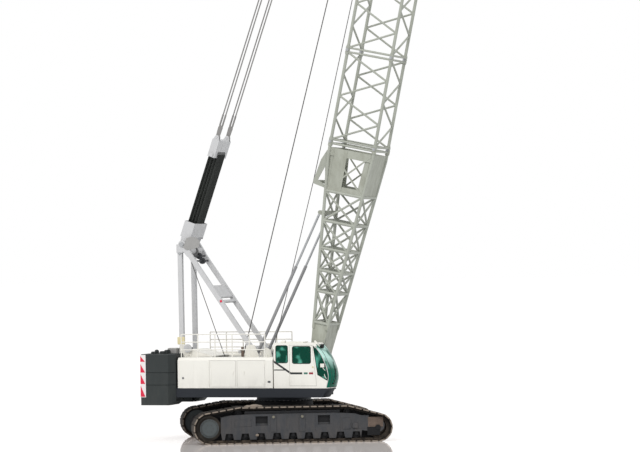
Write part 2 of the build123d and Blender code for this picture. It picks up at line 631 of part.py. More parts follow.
def counterweight():
    """Stacked slabs with rounded outer corners, cut out in front for the gantry legs."""
    outline = (
        (WEIGHT_REAR + WEIGHT_REAR_CORNER, -WEIGHT_HALF), (WEIGHT_FRONT - WEIGHT_CORNER, -WEIGHT_HALF),
        (WEIGHT_FRONT, -WEIGHT_HALF + WEIGHT_CORNER), (WEIGHT_FRONT, -BEAM_Y - 160), (WEIGHT_FRONT - 300, -BEAM_Y - 160),
        (WEIGHT_FRONT - 300, BEAM_Y + 160), (WEIGHT_FRONT, BEAM_Y + 160), (WEIGHT_FRONT, WEIGHT_HALF - WEIGHT_CORNER),
        (WEIGHT_FRONT - WEIGHT_CORNER, WEIGHT_HALF), (WEIGHT_REAR + WEIGHT_REAR_CORNER, WEIGHT_HALF),
        (WEIGHT_REAR, WEIGHT_HALF - WEIGHT_REAR_CORNER), (WEIGHT_REAR, WEIGHT_REAR_CORNER - WEIGHT_HALF))
    slabs = []
    for low, high in zip(WEIGHT_LEVELS, WEIGHT_LEVELS[1:]):
        face = Face(Wire.make_polygon([(x, y, low + SEAT) for x, y in outline], close=True))
        slab = Solid.extrude(face, Vector(0, 0, high - low - SEAT))
        slab = chamfer(slab.edges().group_by(Axis.Z)[-1], WEIGHT_EDGE)
        slabs.append(slab)
    tail = block((WEIGHT_REAR + 440, WEIGHT_FRONT + 10), (-BEAM_Y - 10, BEAM_Y + 10), (0, DECK_Z - 147 + SEAT))
    deep, tall = WEIGHT_CHIN
    chin = plate(((WEIGHT_FRONT + 10, WEIGHT_LEVELS[0] - 10), (WEIGHT_FRONT + 10, WEIGHT_LEVELS[0] + tall),
                  (WEIGHT_FRONT, WEIGHT_LEVELS[0] + tall), (WEIGHT_FRONT - deep, WEIGHT_LEVELS[0] + SEAT),
                  (WEIGHT_FRONT - deep, WEIGHT_LEVELS[0] - 10)), (-WEIGHT_HALF - 10, WEIGHT_HALF + 10))
    slabs[0] = slabs[0] - tail - chin
    deck_room = block((UPPER_REAR - 70, WEIGHT_FRONT + 10), (-UPPER_HALF - 10, UPPER_HALF + 10), (0, 3000))
    slabs = [slab - deck_room for slab in slabs]
    lugs = []
    for x, y in ((-4050, -1150), (-3640, -1150), (-4050, 1150), (-3640, 1150)):
        top = WEIGHT_LEVELS[-1]
        lug = block((x - 75, x + 75), (y - 20, y + 20), (top - 10, top + 60)) + boss(x, top + 60, (y - 20, y + 20), 75)
        lugs.append(lug - boss(x, top + 60, (y - 25, y + 25), LUG_BORE))
    slabs[-1] = fused([slabs[-1]] + lugs)
    return slabs


def engine():
    """The engine as one plain block on the deck in the left house."""
    return block((-2700, -1250), (HOUSE_INNER + 60, UPPER_HALF - 70), (DECK_Z + SEAT, DECK_Z + 760))


def roof_deck():
    """The walkway plate over the machinery behind the drums, on its own legs."""
    top = block((UPPER_REAR, -2720), (-HOUSE_INNER + SEAT, HOUSE_INNER - SEAT), (HOUSE_TOP - 60, HOUSE_TOP))
    wall = block((UPPER_REAR, UPPER_REAR + 40), (-HOUSE_INNER + SEAT, HOUSE_INNER - SEAT), (2260, HOUSE_TOP - 50))
    return top + wall


def handrails():
    """Tube rails and posts along both roof edges."""
    rails = []
    for side in (-1, 1):
        y = side * (UPPER_HALF - 130)
        posts = (-3080, -2500, -1900, -1300, -700, -160)
        for x in posts:
            rails.append(rod((x, y, HOUSE_TOP + SEAT), (x, y, HOUSE_TOP + 765), 19))
        for z in (255, 510, 765):
            rails.append(rod((posts[0], y, HOUSE_TOP + z), (posts[-1], y, HOUSE_TOP + z), 17))
    return [fused(rails[:9]), fused(rails[9:])]


# Cab

def cab_solid(inset):
    """The cab's closed form, drawn in by an inset. The front is an arc in plan and leans back upwards."""
    right, left, rear = CAB_RIGHT + inset, CAB_LEFT - inset, CAB_REAR + inset
    low, high = CAB_SECTIONS[0][0] + inset, CAB_SECTIONS[-1][0] - inset
    rings = []
    for z, front in CAB_SECTIONS:
        level = min(max(z, low), high)
        shoulder = front - inset
        edges = [
            Edge.make_line((rear, left, level), (rear, right, level)),
            Edge.make_line((rear, right, level), (shoulder, right, level)),
            Edge.make_three_point_arc((shoulder, right, level), (shoulder + CAB_BULGE, (right + left) / 2, level),
                                      (shoulder, left, level)),
            Edge.make_line((shoulder, left, level), (rear, left, level)),
        ]
        rings.append(Wire(edges))
    return Solid.make_loft(rings, ruled=True)


def pane(across, x, z, play):
    """A cutter with rounded corners for a window in a wall; play draws it in for the glass."""
    cutter = block((x[0] + play, x[1] - play), across, (z[0] + play, z[1] - play))
    return fillet(cutter.edges().filter_by(Axis.Y), PANE_CORNER - play)


def cab_windows(play):
    """Cutters for the window openings; play draws each one in for its pane."""
    side = (CAB_RIGHT - 60, CAB_RIGHT + 120)
    far = (CAB_LEFT - 120, CAB_LEFT + 60)
    quarter = Face(Wire.make_polygon([(x, 0, z) for x, z in QUARTER_PANE], close=True))
    quarter = offset(quarter, -play, kind=Kind.INTERSECTION).face() if play else quarter
    screen = block((1500, DECK_FRONT + 500), (CAB_RIGHT + 70 + play, CAB_LEFT - 70 - play),
                   (SCREEN_Z[0] + play, SCREEN_Z[1] - play))
    rear = block((CAB_REAR - 60, CAB_REAR + 120), (CAB_RIGHT + 110 + play, CAB_LEFT - 110 - play),
                 (REAR_PANE[1][0] + play, CAB_DOOR_PANE[1][1] - play))
    cutters = [pane(side, *REAR_PANE, play), pane(far, (REAR_PANE[0][0], CAB_DOOR_PANE[0][1]), CAB_DOOR_PANE[1], play)]
    for y in (side, far):
        cutters.append(Pos(0, y[0], 0) * Solid.extrude(quarter, Vector(0, y[1] - y[0], 0)))
    return cutters + [screen, rear]


def door_outline(play):
    """The cab door's panel, whose front edge follows the quarter window; play makes the opening larger."""
    low, high = CAB_DOOR_Z[0] - play, CAB_DOOR_Z[1] + play
    points = ((CAB_DOOR_REAR - play, low), (CAB_DOOR_FRONT[0] + play, low), (CAB_DOOR_FRONT[1] + play, high),
              (CAB_DOOR_REAR - play, high))
    return plate(points, (CAB_RIGHT - 60 * (play > 0), CAB_RIGHT + CAB_WALL + 5 * (play > 0)))


def cab_shell():
    shell = cab_solid(0) - cab_solid(CAB_WALL)
    for cutter in cab_windows(0):
        shell = shell - cutter
    return fused([shell - door_outline(DOOR_GAP)] + [cab_knuckle(-1, z + KNUCKLE + SEAT) for z in CAB_KNUCKLES_Z])


def cab_glass():
    skin = cab_solid(GLASS_INSET) - cab_solid(GLASS_INSET + GLASS_THICK)
    return [skin & cutter for cutter in cab_windows(SEAT)]


def cab_door():
    """The door panel with its window opening, handle and hinge barrels."""
    panel = door_outline(0) - pane((CAB_RIGHT - 5, CAB_RIGHT + CAB_WALL + 5), *CAB_DOOR_PANE, 0)
    handle = block((1480, 1560), (CAB_RIGHT - 22, CAB_RIGHT + 5), (2310, 2345))
    return fused([panel, handle] + [cab_knuckle(1, z) for z in CAB_KNUCKLES_Z])


def cab_knuckle(inward, z):
    """Half a hinge of the cab door, with its leaf on the door or on the shell."""
    barrel = upright(CAB_DOOR_REAR, CAB_RIGHT - HINGE_RADIUS, (z, z + KNUCKLE), HINGE_RADIUS)
    x = sorted((CAB_DOOR_REAR, CAB_DOOR_REAR + inward * 45))
    return barrel + block(x, (CAB_RIGHT - HINGE_RADIUS, CAB_RIGHT + 4), (z, z + KNUCKLE))


def cab_door_glass():
    return pane((CAB_RIGHT + GLASS_INSET, CAB_RIGHT + GLASS_INSET + GLASS_THICK), *CAB_DOOR_PANE, SEAT)


def cab_seat():
    """Seat, backrest, pedestal and side consoles on the cab floor."""
    middle = (CAB_RIGHT + CAB_LEFT) / 2
    floor = CAB_SECTIONS[0][0] + CAB_WALL + SEAT
    base = block((520, 980), (middle - 150, middle + 150), (floor, floor + 330))
    cushion = block((480, 1020), (middle - 240, middle + 240), (floor + 320, floor + 430))
    back = plate(((480, floor + 425), (600, floor + 425), (520, floor + 1020), (400, floor + 1020)),
                 (middle - 230, middle + 230))
    consoles = [block((620, 1150), (y - 60, y + 60), (floor + 250, floor + 560)) for y in (middle - 320, middle + 320)]
    shelves = [block((620, 940), (middle - 330, middle + 330), (floor + 250, floor + 325))]
    return fused([base, cushion, back] + consoles + shelves)


# Gantry

def gantry_mast():
    """The two mast bars with their cross plates and the head that carries the bail."""
    foot_x, foot_z = MAST_FOOT
    top = (GANTRY_PIN[0] + 60, GANTRY_PIN[1] - 60)
    bars, cheeks = [], []
    for side in (-1, 1):
        low = (foot_x, side * MAST_HALF[0], foot_z)
        high = (top[0], side * MAST_HALF[1], top[1])
        bars.append(bar(low, high, *MAST_SIZE))
        bars.append(boss(foot_x, foot_z, sorted((side * (BEAM_Y + SEAT), side * (MAST_HALF[0] + 60))), 130))
        cheeks.append(tapered_arm((GANTRY_PIN[0], GANTRY_PIN[1]), 125, (GANTRY_PIN[0] + 240, GANTRY_PIN[1] - 330), 95,
                                  sorted((side * (MAST_HALF[1] - 50), side * (MAST_HALF[1] + 60)))))

    def along(share, shift=0.0):
        return foot_x + (top[0] - foot_x) * share, foot_z + (top[1] - foot_z) * share + shift

    crosses = []
    for share, deep in MAST_PLATES:
        x, z = along(share)
        run = degrees(atan2(top[1] - foot_z, top[0] - foot_x))
        half = MAST_HALF[0] + (MAST_HALF[1] - MAST_HALF[0]) * share
        crosses.append(Pos(x, 0, z) * Rot(0, -run, 0) * Box(deep, 2 * half - 20, 90))
    head = boss(GANTRY_PIN[0] + 150, GANTRY_PIN[1] - 210, (-MAST_HALF[1], MAST_HALF[1]), 110)
    for side in (-1, 1):
        y = sorted((side * (MAST_HALF[1] - 50), side * (MAST_HALF[1] + 60)))
        cheeks.append(block((LEG_X[1] - 60, LEG_X[1] + 160), y, (LEG_TOP + SEAT, GANTRY_PIN[1])))
    pin = boss(GANTRY_PIN[0], GANTRY_PIN[1], (-MAST_HALF[1] - 75, MAST_HALF[1] + 75), 45)
    return fused(bars + cheeks + crosses + [head, pin])


def gantry_legs():
    """The two rear legs, from the frame's tail to the gantry head."""
    legs = []
    for side in (-1, 1):
        y = side * LEG_HALF
        low = (LEG_X[0], y, DECK_Z + SEAT)
        high = (LEG_X[1] + 40, y, LEG_TOP + 100)
        leg = bar(low, high, LEG_SIZE, LEG_SIZE) - block((-4000, -3000), (y - 200, y + 200), (LEG_TOP, LEG_TOP + 300))
        shoe = block((LEG_X[0] - 75, LEG_X[0] + 85), (y - 100, y + 100), (DECK_Z + SEAT, DECK_Z + 300))
        legs.append(leg + shoe)
    return legs


# Stay system

def stay_frame():
    """The stay line's place: its angle from the vertical and its length at rest."""
    lean = radians(BOOM_LEAN)
    x = FOOT[0] + STAY_REACH * sin(lean) - STAY_SET * cos(lean)
    z = FOOT[1] + STAY_REACH * cos(lean) + STAY_SET * sin(lean)
    dx, dz = x - GANTRY_PIN[0], z - GANTRY_PIN[1]
    return degrees(atan2(dx, dz)), hypot(dx, dz)


STAY_LEAN, STAY_LENGTH = stay_frame()
STAY = Pos(GANTRY_PIN[0], 0, GANTRY_PIN[1]) * Rot(0, STAY_LEAN, 0)
BAIL_TOP = 790.0
BAIL_HALF = MAST_HALF[1] - MAST_SIZE[0] / 2 - RUNNING
REEVING_Y = [REEVING_STEP * (i - 2.5) for i in range(6)]
REEVING_X = REEVING_SHEAVE + ROPE_RADIUS + SEAT


def gantry_bail():
    """The bail that swings on the gantry's pin and holds the lower sheaves."""
    cheeks = [tapered_arm((0, 0), 110, (0, 300), 150, sorted((s * (BAIL_HALF - 40), s * BAIL_HALF))) for s in (-1, 1)]
    box = block((-BOX_HALF, BOX_HALF), (-BAIL_HALF, BAIL_HALF), (230, BAIL_TOP - 90))
    box = box - block((30 - BOX_HALF, BOX_HALF - 30), (-BAIL_HALF + 60, BAIL_HALF - 60), (300, BAIL_TOP))
    axle = boss(0, BAIL_TOP - 260, (-BAIL_HALF + 30, BAIL_HALF - 30), 40)
    sheaves = [boss(0, BAIL_TOP - 260, (y - 25, y + 25), REEVING_SHEAVE) for y in REEVING_Y]
    body = fused(cheeks + [box, axle] + sheaves)
    return STAY * (body - boss(0, 0, (-BAIL_HALF - 5, BAIL_HALF + 5), 45 + PIN_GAP))


def reeving():
    """The boom hoist's rope parts between the bail and the bridle, in two layers."""
    ropes = [rod((x, y, BAIL_TOP - 260), (x, y, BRIDLE_AT + 170), ROPE_RADIUS)
             for x in (-REEVING_X, REEVING_X) for y in REEVING_Y]
    return [STAY * rope for rope in ropes]


def bridle_block():
    """The floating bridle: a sheave box with the pendants' ears."""
    low, high = BRIDLE_AT, BRIDLE_AT + BRIDLE_LENGTH
    half = BRIDLE_WIDTH / 2
    box = block((-BOX_HALF, BOX_HALF), (-half, half), (low + 40, high))
    box = box - block((30 - BOX_HALF, BOX_HALF - 30), (-half + 60, half - 60), (low, high - 130))
    axle = boss(0, low + 170, (-half + 30, half - 30), 40)
    sheaves = [boss(0, low + 170, (y - 25, y + 25), REEVING_SHEAVE) for y in REEVING_Y]
    ears = []
    for side in (-1, 1):
        for shift in (-62, 62):
            y = side * PENDANT_Y + shift
            ear = tapered_arm((0, high - 40), 110, (0, high + 90), 70, (y - 18, y + 18))
            ears.append(ear)
        ears.append(boss(0, high + 90, sorted((side * PENDANT_Y - 95, side * PENDANT_Y + 95)), 35))
    corner = [block((-60, 60), sorted((s * (half - 5), s * (half + 45))), (low + 60, low + 180)) for s in (-1, 1)]
    return STAY * fused([box, axle] + sheaves + ears + corner)


def pendant(side):
    """A pair of pendant ropes with sockets and link plates, from the bridle to the boom head."""
    start, end = BRIDLE_AT + BRIDLE_LENGTH + 90, STAY_LENGTH
    y = side * PENDANT_Y
    gap = 46
    links = []
    for at in (start, end):
        sign = 1 if at == start else -1
        eye = tapered_arm((0, at), 64, (0, at + sign * 330), 76, (y - 20, y + 20))
        links.append(eye - boss(0, at, (y - 25, y + 25), 35 + PIN_GAP))
    stops = [start + 300 + (end - start - 600) * share for share in (0.0, 0.33, 0.66, 1.0)]
    for at in stops[1:-1]:
        links.append(tapered_arm((0, at - 170), 70, (0, at + 170), 70, (y - 20, y + 20)))
    ropes = [rod((x, y, stops[0]), (x, y, stops[-1]), PENDANT_RADIUS) for x in (-gap, gap)]
    sockets = []
    for index, at in enumerate(stops):
        for sign in (-1, 1):
            if (index, sign) in ((0, -1), (len(stops) - 1, 1)):
                continue
            tip = at + sign * 480
            sockets += [rod((x, y, at + sign * 100), (x, y, tip), 30) for x in (-gap, gap)]
    return STAY * fused(links + ropes + sockets)


# Boom

def depth_at(u):
    """The boom's depth between chord centres at a distance from the foot pin."""
    share = min(max(u / TAPER_TOP, 0.0), 1.0)
    return FOOT_DEPTH + (SECTION - FOOT_DEPTH) * share


def width_at(u):
    share = min(max(u / TAPER_TOP, 0.0), 1.0)
    return FOOT_WIDTH + (SECTION - FOOT_WIDTH) * share


def corner(u, front, left):
    return Vector(front * depth_at(u) / 2, left * width_at(u) / 2, u)


CHORDS = ((-1, -1), (1, -1), (1, 1), (-1, 1))
# Each face: the chord that the lacing meets at even stations, then the one at odd stations
FACES = (((-1, -1), (1, -1)), ((1, 1), (-1, 1)), ((-1, 1), (-1, -1)), ((1, -1), (1, 1)))
BOOM = Pos(FOOT[0], 0, FOOT[1]) * Rot(0, BOOM_LEAN, 0)


def chords(start, end, bends=()):
    levels = [start] + [b for b in bends if start < b < end] + [end]
    solids = []
    for front, left in CHORDS:
        for low, high in zip(levels, levels[1:]):
            solids.append(flats(corner(low, front, left), corner(high, front, left), CHORD_RADIUS, 8, 22.5))
    return solids


def lacing(start, end):
    """Zigzag lacing on the four faces, crossing from chord to chord at each station."""
    count = max(2, round((end - start) / STATION))
    solids = []
    for even, odd in FACES:
        for index in range(count):
            ends = (even, odd) if index % 2 == 0 else (odd, even)
            low = corner(start + (end - start) * index / count, *ends[0])
            high = corner(start + (end - start) * (index + 1) / count, *ends[1])
            solids.append(flats(low, high, LACING / 2, 4, 45))
    return solids


def ring_frame(u, tube=LACING):
    """Four cross tubes round the boom."""
    return [flats(corner(u, *a), corner(u, *b), tube / 2, 4, 45) for a, b in FACES]


def joint_ends(u, sign):
    """Lugs on the four chords where two sections are pinned together."""
    return [rod(corner(u, f, l), corner(u, f, l) + Vector(0, 0, sign * 150), CHORD_RADIUS + 22) for f, l in CHORDS]


def boom_section(start, length):
    """A parallel section with lacing, end frames and pinned ends."""
    low, high = start + SEAT, start + length
    pieces = chords(low, high) + lacing(low + 70, high - 70)
    pieces += ring_frame(low + 70) + ring_frame(high - 70)
    pieces += joint_ends(low, 1) + joint_ends(high, -1)
    return fused(pieces)


def boom_butt():
    """The tapered foot section with its plated legs, plated ring and backstop lugs."""
    pieces = chords(FOOT_PLATES - 200, BUTT_LENGTH, (TAPER_TOP,))
    for level in BUTT_STATIONS:
        pieces += ring_frame(level, STATION_TUBE)
    for low, high in zip(BUTT_STATIONS, BUTT_STATIONS[1:]):
        for even, odd in FACES:
            pieces.append(flats(corner(low, *even), corner(high, *odd), LACING / 2, 4, 45))
            pieces.append(flats(corner(low, *odd), corner(high, *even), LACING / 2, 4, 45))
    pieces += ring_frame(BUTT_LENGTH - 60) + joint_ends(BUTT_LENGTH, -1)
    low, high = RING_PLATE
    for level, tall in ((low, 210), (high - 260, 260)):
        for even, odd in FACES[:2]:
            a, b = corner(level, *even), corner(level, *odd)
            half = depth_at(level) / 2
            pieces.append(block((-half, half), sorted((a.Y - 12, a.Y + 12)), (level, level + tall)))
    for even, odd in FACES[:2]:
        pieces.append(flats(corner(low, *even), corner(high, *odd), LACING / 2, 4, 45))
        pieces.append(flats(corner(low, *odd), corner(high, *even), LACING / 2, 4, 45))
    for front in (-1, 1):
        for left in (-1, 1):
            y = sorted((left * (width_at(low) / 2 - 12), left * (width_at(low) / 2 + 12)))
            inner_low, inner_high = front * (depth_at(low) / 2 - 230), front * (depth_at(high) / 2 - 230)
            pieces.append(plate(((front * depth_at(low) / 2, low), (front * depth_at(high) / 2, high),
                                 (inner_high, high), (inner_low, low)), y))
        face_plate = plate(((front * (depth_at(low) / 2 - 10), low), (front * (depth_at(low) / 2 + 10), low),
                            (front * (depth_at(high) / 2 + 10), high), (front * (depth_at(high) / 2 - 10), high)),
                           (-width_at(low) / 2, width_at(low) / 2))
        pieces.append(face_plate)
    pieces += foot_legs()
    eye_x, eye_u = BACKSTOP_EYE
    for side in (-1, 1):
        for shift in (-42, 42):
            y = side * BACKSTOP_Y + shift
            rear = -depth_at(eye_u) / 2
            pieces.append(tapered_arm((eye_x, eye_u), 62, (rear, eye_u), 90, (y - 12, y + 12)))
    pieces.append(rod(corner(eye_u, -1, -1), corner(eye_u, -1, 1), 52))
    return BOOM * fused(pieces)


def foot_legs():
    """Box legs that run down to the foot pins, with the plates that close the boom between them."""
    lug = foot_lug_y()
    pieces = []
    top = FOOT_PLATES + 60
    for side in (-1, 1):
        y = sorted((side * lug[0], side * lug[1]))
        eye = boss(0, 0, y, 125) - boss(0, 0, (y[0] - 5, y[1] + 5), BOOM_PIN + PIN_GAP)
        leg = plate(((-118, 40), (118, 40), (depth_at(top) / 2 + 40, top), (-depth_at(top) / 2 - 40, top)), y)
        pieces += [eye, leg - boss(0, 0, (y[0] - 5, y[1] + 5), BOOM_PIN + PIN_GAP)]
    for front in (-1, 1):
        pieces.append(plate(((front * 190, 620), (front * 215, 620), (front * (depth_at(top) / 2 + 10), top),
                             (front * (depth_at(top) / 2 - 15), top)), (-lug[0] - 10, lug[0] + 10)))
    return pieces


def boom_tip(start):
    """The top section with the head's side plates, the sheave pin and the pendants' ears."""
    low, high = start + SEAT, start + TIP_LENGTH - 2300
    pieces = chords(low, high + 700) + lacing(low + 70, high)
    pieces += ring_frame(low + 70) + ring_frame(high) + joint_ends(low, 1)
    top = start + TIP_LENGTH
    half = SECTION / 2
    for side in (-1, 1):
        y = sorted((side * (half - 20), side * (half + 20)))
        pieces.append(plate(((-half - 30, high + 520), (half + 30, high + 520), (HEAD_AXLE[0] + 120, HEAD_AXLE[1] - 150),
                             (HEAD_AXLE[0] + 120, HEAD_AXLE[1] + 130), (HEAD_AXLE[0] - 150, top), (-half, top),
                             (-half - 120, top - 400)), y))
        pieces.append(boss(HEAD_AXLE[0], HEAD_AXLE[1], sorted((side * (half - 60), side * (half + 60))), 130))
    pieces.append(rod((-half + 30, -half, top - 120), (-half + 30, half, top - 120), 70))
    pieces.append(rod((0, -half, top - 120), (0, half, top - 120), 70))
    pieces.append(rod((-half + 30, -half, high + 640), (-half + 30, half, high + 640), 60))
    pieces.append(boss(HEAD_AXLE[0], HEAD_AXLE[1], (-half, half), 60))
    for side in (-1, 1):
        for shift in (-44, 44):
            y = side * PENDANT_Y + shift
            pieces.append(tapered_arm((-STAY_SET, STAY_REACH), 75, (30 - half, STAY_REACH + 200), 120, (y - 14, y + 14)))
    pieces.append(rod((30 - half, -half, STAY_REACH + 200), (30 - half, half, STAY_REACH + 200), 80))
    body = fused(pieces)
    for side in (-1, 1):
        body = body - boss(-STAY_SET, STAY_REACH, (side * PENDANT_Y - 70, side * PENDANT_Y + 70), 35 + PIN_GAP)
    return BOOM * body


def guide_rollers():
    """The rope guide behind the plated ring: two bracket plates with an opening, and the roller between them."""
    low, high = RING_PLATE
    slope = (depth_at(high) - depth_at(low)) / 2 / (high - low)

    def behind(away, up):
        return -depth_at(low) / 2 - slope * up - 10 - SEAT - away, low + up

    outline = [behind(*point) for point in GUIDE_OUTLINE]
    opening = [behind(*point) for point in GUIDE_OPENING]
    plates = []
    for side in (-1, 1):
        y = sorted((side * GUIDE_Y[0], side * GUIDE_Y[1]))
        plates.append(plate(outline, y) - plate(opening, (y[0] - 5, y[1] + 5)))
    return [BOOM * fused(plates + [boss(*ROPE_GUIDE, (-GUIDE_Y[1], GUIDE_Y[1]), 60)])]


def build_boom():
    save("boom_butt", boom_butt())
    start = BUTT_LENGTH
    for name, length in zip(("boom_insert_short", "boom_insert_medium", "boom_insert_long"), INSERT_LENGTHS):
        save(name, BOOM * boom_section(start, length))
        start += length
    save("boom_tip", boom_tip(start))
    save("guide_rollers", *guide_rollers())
    save("tip_sheaves", BOOM * tip_sheaves())


def tip_sheaves():
    """The head sheaves on their common hub."""
    x, z = HEAD_AXLE
    hub = boss(x, z, (HEAD_SHEAVE_Y[0] - 40, HEAD_SHEAVE_Y[-1] + 40), 110)
    wheels = []
    for y in HEAD_SHEAVE_Y:
        wheels.append(boss(x, z, (y - 28, y + 28), HEAD_SHEAVE + 30) - groove(x, z, y))
    return fused([hub] + wheels) - boss(x, z, (-500, 500), 60 + PIN_GAP)


def groove(x, z, y):
    """The ring cut from a sheave's rim for its rope."""
    return boss(x, z, (y - 16, y + 16), HEAD_SHEAVE + 40) - boss(x, z, (y - 20, y + 20), HEAD_SHEAVE - ROPE_RADIUS)


# Hook and falls, hanging plumb from the head sheaves

def head_point():
    lean = radians(BOOM_LEAN)
    x, z = HEAD_AXLE
    return FOOT[0] + x * cos(lean) + z * sin(lean), FOOT[1] + z * cos(lean) - x * sin(lean)


HEAD = Pos(head_point()[0], 0, head_point()[1])


def hook_falls():
    ropes = [rod((x, y, 0), (x, y, -FALL_LENGTH), ROPE_RADIUS)
             for x in (-HEAD_SHEAVE - SEAT, HEAD_SHEAVE + SEAT) for y in (-FALL_Y, FALL_Y)]
    return [HEAD * rope for rope in ropes]


def hook_block():
    """Cheek plates, sheaves and the swivel housing of the hook block."""
    z = -FALL_LENGTH
    cheeks = [tapered_arm((0, z + 60), 330, (0, z - 520), 170, (y - 15, y + 15)) for y in (-190, 190)]
    sheaves = [boss(0, z, (y - 28, y + 28), HEAD_SHEAVE - ROPE_RADIUS) for y in (-FALL_Y, FALL_Y)]
    axle = boss(0, z, (-215, 215), 55)
    housing = block((-130, 130), (-180, 180), (z - 640, z - 440))
    return HEAD * fused(cheeks + sheaves + [axle, housing])


def hook():
    """The forged hook on its swivel shank."""
    z = -FALL_LENGTH - 640 - SEAT
    shank = upright(0, 0, (z - 260, z), 62)
    nut = upright(0, 0, (z - 60, z), 95)
    centre = z - 260 - THROAT - 60
    ring = boss(0, centre, (-55, 55), THROAT + 115) - boss(0, centre, (-60, 60), THROAT)
    mouth = plate(((60, centre + 40), (400, centre - 60), (400, centre + 400), (75, centre + 400)), (-60, 60))
    return HEAD * fused([shank, nut, ring - mouth])


# Backstops

def backstop_frame():
    lean = radians(BOOM_LEAN)
    x, u = BACKSTOP_EYE
    eye = (FOOT[0] + x * cos(lean) + u * sin(lean), FOOT[1] + u * cos(lean) - x * sin(lean))
    dx, dz = eye[0] - BACKSTOP_BASE[0], eye[1] - BACKSTOP_BASE[1]
    return degrees(atan2(dx, dz)), hypot(dx, dz)


BACKSTOP_LEAN, BACKSTOP_LENGTH = backstop_frame()
BACKSTOP = Pos(BACKSTOP_BASE[0], 0, BACKSTOP_BASE[1]) * Rot(0, BACKSTOP_LEAN, 0)


def backstop_barrel(side):
    y = side * BACKSTOP_Y
    tube = upright(0, y, (140, BARREL_LENGTH), BARREL_RADIUS) - upright(0, y, (300, BARREL_LENGTH + 5), BARREL_RADIUS - BARREL_WALL)
    eye = tapered_arm((0, 0), 62, (0, 170), 50, (y - 30, y + 30)) - boss(0, 0, (y - 40, y + 40), 30 + PIN_GAP)
    return BACKSTOP * (tube + eye)


def backstop_rod(side):
    y = side * BACKSTOP_Y
    shaft = upright(0, y, (1550, BACKSTOP_LENGTH - 130), BACKSTOP_ROD)
    collar = upright(0, y, (1550, 1650), BARREL_RADIUS - BARREL_WALL - SEAT)
    eye = boss(0, BACKSTOP_LENGTH, (y - 22, y + 22), 60) - boss(0, BACKSTOP_LENGTH, (y - 30, y + 30), 32)
    neck = block((-34, 34), (y - 22, y + 22), (BACKSTOP_LENGTH - 200, BACKSTOP_LENGTH - 50))
    return BACKSTOP * fused([shaft, collar, eye, neck])


def backstop_stands():
    """Ears on the beam plates that hold the backstops' lower pins."""
    pieces = []
    x, z = BACKSTOP_BASE
    for side in (-1, 1):
        y = side * BACKSTOP_Y
        ears = [plate(((x - 110, DECK_Z + SEAT), (x + 110, DECK_Z + SEAT), (x + 75, z + 30), (x, z + 75), (x - 75, z + 30)),
                      (y + s - 12, y + s + 12)) for s in (-50, 50)]
        pin = boss(x, z, (y - 75, y + 75), 30)
        pieces.append(fused(ears + [pin]))
    return pieces


# Winches

def drum(x, z, radius, flange):
    body = boss(x, z, (-DRUM_HALF, DRUM_HALF), radius)
    rims = [boss(x, z, y, flange) for y in ((-DRUM_HALF, -DRUM_HALF + 40), (DRUM_HALF - 40, DRUM_HALF))]
    axle = boss(x, z, (-BEAM_Y - 20, BEAM_Y + 20), 60)
    return fused([body, axle] + rims)


def build_upper():
    save("upper_frame", upper_frame())
    save("boom_foot_brackets", *foot_brackets(), *backstop_stands())
    left = house(LEFT_HOUSE_FRONT)
    for slot in louvres(-2900):
        left = left - slot
    right = mirrored(house(RIGHT_HOUSE_FRONT))
    save("house_left", left)
    save("house_right", right)
    for side_name, flip in (("left", lambda s: s), ("right", mirrored)):
        for place, (x0, x1), latch_x in zip(("rear", "front"), DOORS_X, LATCHES_X):
            hinge_at = x0 if place == "rear" else x1
            save(f"service_door_{side_name}_{place}", flip(service_door(x0, x1, hinge_at, latch_x)))
    save("counterweight", *counterweight())
    save("engine", engine())
    save("roof_deck", roof_deck())
    save("handrails", *handrails())
    save("cab_shell", cab_shell())
    save("cab_glass", *cab_glass())
    save("cab_door", cab_door())
    save("cab_door_glass", cab_door_glass())
    save("cab_seat", cab_seat())
    save("gantry_mast", gantry_mast())
    save("gantry_legs", *gantry_legs())
    for name, sizes in DRUMS.items():
        save(name, drum(*sizes))


def build_rigging():
    save("gantry_bail", gantry_bail())
    save("reeving", *reeving())
    save("bridle_block", bridle_block())
    save("pendants", pendant(-1), pendant(1))
    save("backstop_barrels", backstop_barrel(-1), backstop_barrel(1))
    save("backstop_rods", backstop_rod(-1), backstop_rod(1))
    save("hook_falls", *hook_falls())
    save("hook_block", hook_block())
    save("hook", hook())


build_undercarriage()
build_upper()
build_boom()
build_rigging()
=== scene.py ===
# %% [markdown]
# # Crawler crane with a lattice boom
# The machine stands on two tracks. On a turntable sit the two houses, the cab, the winches and the
# counterweight, and a lattice boom rises from the front. The solid model brings every piece that
# moves or carries load. This file dresses it: paint, glass, ropes, round tubes, rails and dust.

# %% Load the solid model
import json
from math import asin, atan2, cos, degrees, hypot, pi, radians, sin

import bpy
from mathutils import Matrix, Vector


